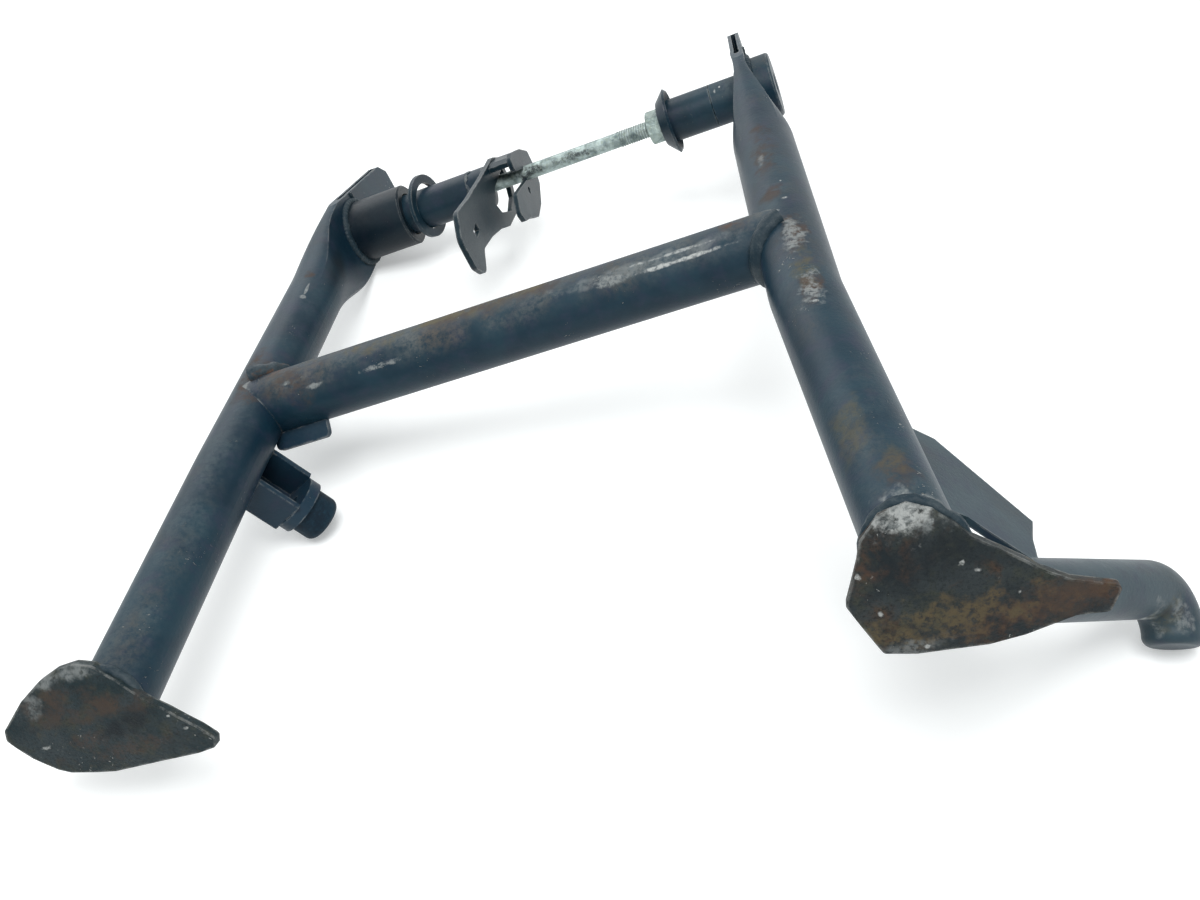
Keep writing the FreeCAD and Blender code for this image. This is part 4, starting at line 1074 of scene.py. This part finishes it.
@dataclass
class Feet:
    """The foot plates, the tang with its gusset, and their welds."""

    frame: WeldedFrame
    left_plate: RustyPlate = field(default_factory=lambda: RustyPlate(
        dark=(0.005, 0.016, 0.020), grey=(0.027, 0.039, 0.044), brownness=0.42))
    right_plate: RustyPlate = field(default_factory=RustyPlate)
    paint: WornPaint = field(default_factory=lambda: WornPaint(
        paint=(0.014, 0.032, 0.044), faded=(0.036, 0.064, 0.080), dust_and_top_light=0.35, chips=0.1,
        rust=0.1, edge=0.6))

    right_marks: tuple[Mark, ...] = (
        Mark(Trace.DARK, (172.0, -206.0, -10.0), (34.0, 9.0, 13.0), 0.75, 0.5, 110.0),
        Mark(Trace.ORANGE, (188.0, -212.0, -36.0), (46.0, 8.0, 10.0), 0.60, 0.9, 420.0),
        Mark(Trace.OCHRE, (170.0, -212.5, -34.0), (38.0, 8.0, 9.0), 0.60, 0.9, 420.0),
        Mark(Trace.ORANGE, (149.0, -207.0, -11.0), (7.0, 7.0, 8.0), 0.55, 0.9, 220.0),
        Mark(Trace.BROWN, (212.0, -213.0, -34.0), (16.0, 8.0, 9.0), 0.8, 0.8, 200.0),
        Mark(Trace.PALE_WEAR_AND_HIGHLIGHT, (156.0, -213.6, -42.0), (16.0, 6.0, 5.0), 0.5, 0.9, 260.0),
        Mark(Trace.PALE_WEAR_AND_HIGHLIGHT, (168.5, -199.4, 4.9), (13.0, 9.0, 9.0), 0.8, 0.9, 330.0, 0.3),
        Mark(Trace.BARE, (167.0, -199.4, 4.9), (9.0, 7.0, 8.0), 0.75, 1.0, 480.0, 0.3),
        chip((179.5, -207.9, -14.3), (1.6, 2.0, 1.6)), chip((184.0, -209.1, -18.1), (1.8, 2.0, 1.2)),
        chip((194.4, -211.9, -29.2), (1.1, 2.0, 1.1)), chip((161.3, -213.8, -43.4), (1.4, 2.0, 1.4)),
        chip((149.9, -211.2, -26.0), (1.4, 2.0, 1.6)), chip((146.5, -206.7, -11.2), (1.2, 2.0, 1.6)),
    )
    left_marks: tuple[Mark, ...] = (
        Mark(Trace.BROWN, (-186.0, -180.5, 4.0), (20.0, 8.0, 6.0), 0.7, 0.8, 220.0),
        Mark(Trace.PALE_WEAR_AND_HIGHLIGHT, (-180.0, -177.6, 10.6), (22.0, 4.0, 4.0), 0.75, 0.8, 300.0, 0.3),
        Mark(Trace.PALE_WEAR_AND_HIGHLIGHT, (-198.0, -182.0, 4.0), (7.0, 5.0, 6.0), 0.6, 0.8, 300.0, 0.3),
        Mark(Trace.DARK, (-160.0, -189.5, -15.0), (14.0, 6.0, 5.0), 0.9, 0.6, 170.0),
        Mark(Trace.DARK, (-150.0, -188.0, -10.5), (9.0, 6.0, 3.5), 0.7, 0.6, 170.0),
        Mark(Trace.ORANGE, (-176.3, -190.3, -17.4), (13.0, 6.0, 4.5), 0.28, 0.9, 420.0),
        Mark(Trace.ORANGE, (-160.0, -192.2, -24.5), (26.0, 6.0, 5.0), 0.28, 0.9, 420.0),
        Mark(Trace.BROWN, (-158.0, -185.5, -4.2), (18.0, 7.0, 7.0), 0.7, 0.8, 200.0),
        Mark(Trace.BROWN, (-190.0, -182.7, -2.0), (12.0, 7.0, 8.0), 0.6, 0.8, 200.0),
        chip((-198.9, -189.8, -15.6), (3.4, 2.0, 1.4)), chip((-131.8, -191.4, -21.7), (2.0, 2.0, 0.9)),
        chip((-136.5, -189.4, -14.6), (1.4, 2.0, 1.0)),
    )
    tang_marks: tuple[Mark, ...] = (
        Mark(Trace.PALE_WEAR_AND_HIGHLIGHT, (240.9, -154.1, -125.2), (7.0, 7.0, 9.0), 0.85, 0.9, 300.0, 0.3),
        Mark(Trace.BARE, (239.0, -154.6, -124.0), (3.0, 4.0, 4.0), 0.8, 0.9, 420.0, 0.3),
        Mark(Trace.PALE_WEAR_AND_HIGHLIGHT, (253.0, -151.0, -134.0), (5.0, 6.0, 9.0), 0.6, 0.9, 340.0, 0.3),
        Mark(Trace.OCHRE, (247.0, -152.0, -130.0), (9.0, 8.0, 9.0), 0.35, 0.9, 240.0),
    )

    def dress(self, shop: Shop) -> None:
        """Give the plates their rust and the tang and gusset their paint."""
        shop.dress("foot_plate_left", self.left_plate, self.left_marks)
        shop.dress("foot_plate_right", self.right_plate, self.right_marks)
        shop.dress("tang_tube", self.paint, self.tang_marks)
        shop.dress("tang_gusset", self.paint)

    def leg_foot(self, side: float, drop: float) -> tuple[Point, Point]:
        """Return a point on a leg's lower axis and the direction it runs in.

        Args:
            side: -1 for the left leg, 1 for the right one.
            drop: How far below the cross tube the point is.

        Returns:
            The point and the direction, on the upright stand.
        """
        frame = self.frame
        down = drop - frame.bend_drop
        at = (side * (frame.leg_bend + frame.splay * down), -drop, -frame.set_back * down)
        return at, (side * frame.splay, -1.0, -frame.set_back)

    def weld(self, shop: Shop) -> None:
        """Lay the beads where the legs stand on the plates."""
        radius = self.frame.tube_radius + 0.6
        for side, name, drop in ((-1.0, "left", 120.0), (1.0, "right", 130.0)):
            at, along = self.leg_foot(side, drop)
            RingSeam(f"weld_foot_{name}", at, along, radius, (f"foot_plate_{name}",),
                     bead=2.2, rust=0.3, reach=110.0, wander=1.4, pitch=4.0,
                     ripple=0.02).build(shop)


@dataclass
class Stop:
    """The stop bracket with its cup and rubber, and the small tab beside it."""

    paint: WornPaint = field(default_factory=lambda: WornPaint(
        paint=(0.007, 0.024, 0.042), faded=(0.018, 0.044, 0.068), edge=0.6, dust_and_top_light=0.4))

    def dress(self, shop: Shop) -> None:
        """Give bracket, cup and tab their paint, and the buffer its rubber."""
        for node in ("stop_bracket", "stop_cup", "cross_tab"):
            shop.dress(node, self.paint)
        shop.dress("stop_rubber", OldRubber())


@dataclass
class PivotHardware:
    """The loose parts on the pivot axis."""

    rod_radius: float = 4.5
    thread_from: float = 50.0
    thread_to: float = 68.8
    thread_pitch: float = 1.5
    seam_at: float = -48.0
    sleeve_radius: float = 12.5
    sleeve: WornPaint = field(default_factory=lambda: WornPaint(
        name="sleeve_paint", paint=(0.006, 0.019, 0.030), dust_and_top_light=0.0, chips=0.12, rust=0.18,
        smooth=0.26, dull=0.46))
    link: WornPaint = field(default_factory=lambda: WornPaint(
        name="link_paint", paint=(0.004, 0.016, 0.024), faded=(0.009, 0.026, 0.036),
        tint=(0.009, 0.016, 0.026), dust_and_top_light=0.0, chips=0.2, edge=0.55))

    def dress(self, shop: Shop) -> None:
        """Give sleeves, washers, link plates, rod and nut their finishes."""
        for node in ("sleeve_left", "bush_left", "sleeve_right", "cup_washer", "washer_left"):
            shop.dress(node, self.sleeve)
        for node in ("link_plate_a", "link_plate_b", "link_web"):
            shop.dress(node, self.link)
        shop.dress("pivot_rod", Zinc(), (
            Mark(Trace.DARK, (-9.0, 185.6, -5.0), (9.0, 3.0, 3.0), 0.9, 0.9, 600.0, 0.5),
            Mark(Trace.DARK, (22.0, 185.6, -5.0), (11.0, 3.0, 3.0), 0.8, 1.0, 600.0, 0.5)))
        shop.dress("pivot_nut", Zinc(bright=(0.30, 0.37, 0.35), pits=0.52))

    def point(self, across: float, radius: float, angle: float) -> Vector:
        """Return a point at a distance and an angle round the pivot axis."""
        return laid((across, PIVOT_UP + radius * math.sin(angle),
                     PIVOT_OUT + radius * math.cos(angle)))

    def thread(self, shop: Shop) -> None:
        """Wind the rod's thread as a ridge left of the nut."""
        turns = (self.thread_to - self.thread_from) / self.thread_pitch
        steps = int(turns * 24)
        path = [self.point(self.thread_from + self.thread_pitch * n / 24, self.rod_radius - 0.1,
                           math.tau * n / 24) for n in range(steps)]
        piece = plain_piece(
            "rod_thread", shop.bead.tree, shop.bead.keys, path, False,
            Radius=0.5 * MM, Ripple=0.0, Wander=0.0, Pitch=0.0032,
            Finish=Zinc(bright=(0.24, 0.28, 0.28)).material("thread", shop.effects, ()))
        shop.add(piece, Body.ROD, Slot.ZINC)

    def torn_seam(self, shop: Shop) -> None:
        """Leave the torn skin of paint that bridges the sleeve and the bush."""
        count = 120
        points: list[Vector] = []
        for radius in (self.sleeve_radius + 0.02, self.sleeve_radius + 0.35):
            for n in range(count):
                angle = math.tau * n / count
                tear = (0.9 * math.sin(5 * angle + 1.3) + 0.6 * math.sin(11 * angle)
                        + 0.4 * math.sin(23 * angle + 0.7))
                for across in (self.seam_at - 0.2, self.seam_at + 1.8 + tear):
                    points.append(self.point(across, radius, angle))
        faces = []
        for n in range(count):
            here, after = 2 * n, 2 * ((n + 1) % count)
            up = 2 * count
            faces.append((here, after, after + 1, here + 1))
            faces.append((up + here + 1, up + after + 1, up + after, up + here))
            faces.append((here + 1, after + 1, up + after + 1, up + here + 1))
            faces.append((up + here, up + after, after, here))
        skin = self.sleeve.material("torn_seam", shop.effects, ())
        shop.add(new_object("torn_seam", points, faces, skin), Body.LEFT_SLEEVE, Slot.PAINT)


@dataclass
class Studio:
    """The pale floor, the soft lights and the camera."""

    eye: Point = (0.07461084, -0.47064717, 0.44942320)
    right: Point = (0.9852174, -0.0012046, -0.1713043)
    above: Point = (0.1197463, 0.7199372, 0.6836309)
    lens: float = 35.86
    key_from: Point = (0.106, -0.278, 0.956)
    key_power: float = 24.0
    world_light: float = 0.62
    floor_colour: Colour = (0.78, 0.80, 0.80)
    floor_glow: float = 0.30

    def camera(self) -> None:
        """Set the camera at the photograph's viewing angle."""
        lens = bpy.data.cameras.new("camera")
        lens.lens = self.lens
        lens.sensor_width = 36.0
        lens.clip_start = 0.01
        made = bpy.data.objects.new("camera", lens)
        right, above = Vector(self.right), Vector(self.above)
        turn = Matrix((right, above, right.cross(above))).transposed().to_4x4()
        made.matrix_world = Matrix.Translation(self.eye) @ turn
        bpy.context.scene.collection.objects.link(made)
        bpy.context.scene.camera = made

    def lamps(self) -> None:
        """Hang a soft key light above and a weaker one behind."""
        centre = Vector((0.0, 0.0, 0.05))
        for name, way, power, size in (
                ("key", self.key_from, self.key_power, 0.9),
                ("back", (-0.5, 0.75, 0.62), self.key_power * 0.4, 1.2)):
            light = bpy.data.lights.new(name, "AREA")
            light.energy = power
            light.size = size
            made = bpy.data.objects.new(name, light)
            toward = Vector(way).normalized()
            made.location = centre + toward * 1.7
            made.rotation_euler = toward.to_track_quat("Z", "Y").to_euler()
            bpy.context.scene.collection.objects.link(made)

    @staticmethod
    def seen(board: Board) -> bpy.types.NodeSocket:
        """Return 1 for rays of the camera, of mirrors and of glass."""
        path = board.node("ShaderNodeLightPath").outputs
        seen = board.math("MAXIMUM", path["Is Camera Ray"], path["Is Glossy Ray"])
        return board.math("MAXIMUM", seen, path["Is Transmission Ray"])

    def world(self) -> None:
        """Light the stand evenly, with a white background."""
        made = bpy.data.worlds.new("studio")
        made.use_nodes = True
        made.node_tree.nodes.clear()
        board = Board(made.node_tree)
        light = board.node("ShaderNodeBackground")
        light.inputs["Strength"].default_value = self.world_light
        white = board.node("ShaderNodeBackground")
        both = board.node("ShaderNodeMixShader")
        board.feed(both.inputs[0], self.seen(board))
        board.feed(both.inputs[1], light.outputs[0])
        board.feed(both.inputs[2], white.outputs[0])
        white.inputs["Color"].default_value = (1.0, 1.0, 1.0, 1.0)
        light.inputs["Color"].default_value = (1.0, 1.0, 1.0, 1.0)
        end = board.node("ShaderNodeOutputWorld")
        board.feed(end.inputs["Surface"], both.outputs[0])
        bpy.context.scene.world = made

    def floor(self) -> None:
        """Lay the pale floor, which keeps the stand's shadow."""
        made = bpy.data.materials.new("floor")
        made.use_nodes = True
        made.node_tree.nodes.clear()
        board = Board(made.node_tree)
        place = board.node("ShaderNodeTexCoord").outputs["Object"]
        cloud = board.noise(place, 3.0, 2.0)
        colour = board.mix(cloud, self.floor_colour, tuple(n * 1.02 for n in self.floor_colour))
        matt = board.node("ShaderNodeBsdfDiffuse")
        board.feed(matt.inputs["Color"], colour)
        glow = board.node("ShaderNodeEmission")
        glow.inputs["Color"].default_value = (0.98, 1.0, 1.0, 1.0)
        board.feed(glow.inputs["Strength"], board.times(self.seen(board), self.floor_glow))
        both = board.node("ShaderNodeAddShader")
        board.feed(both.inputs[0], matt.outputs[0])
        board.feed(both.inputs[1], glow.outputs[0])
        end = board.node("ShaderNodeOutputMaterial")
        board.feed(end.inputs["Surface"], both.outputs[0])
        half = 4.0
        outline = [(-half, -half, 0.0), (half, -half, 0.0), (half, half, 0.0), (-half, half, 0.0)]
        new_object("floor", outline, [(0, 1, 2, 3)], made)

    def build(self) -> None:
        """Set up the camera, the light and the floor."""
        self.camera()
        self.lamps()
        self.world()
        self.floor()
        bpy.context.scene.view_settings.view_transform = "Standard"


def clear_scene() -> None:
    """Take out the objects that a new scene starts with."""
    for item in list(bpy.data.objects):
        bpy.data.objects.remove(item)


def main() -> None:
    """Build the scene in order, from the frame to the studio."""
    logging.basicConfig(level=logging.INFO, format="%(name)s: %(message)s")
    clear_scene()
    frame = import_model()
    shop = Shop(frame)
    Studio().build()
    welded = WeldedFrame()
    for part in (welded, LegTops(), Feet(welded)):
        part.dress(shop)
        part.weld(shop)
    Stop().dress(shop)
    hardware = PivotHardware()
    hardware.dress(shop)
    hardware.thread(shop)
    hardware.torn_seam(shop)


if __name__ == "__main__":
    main()
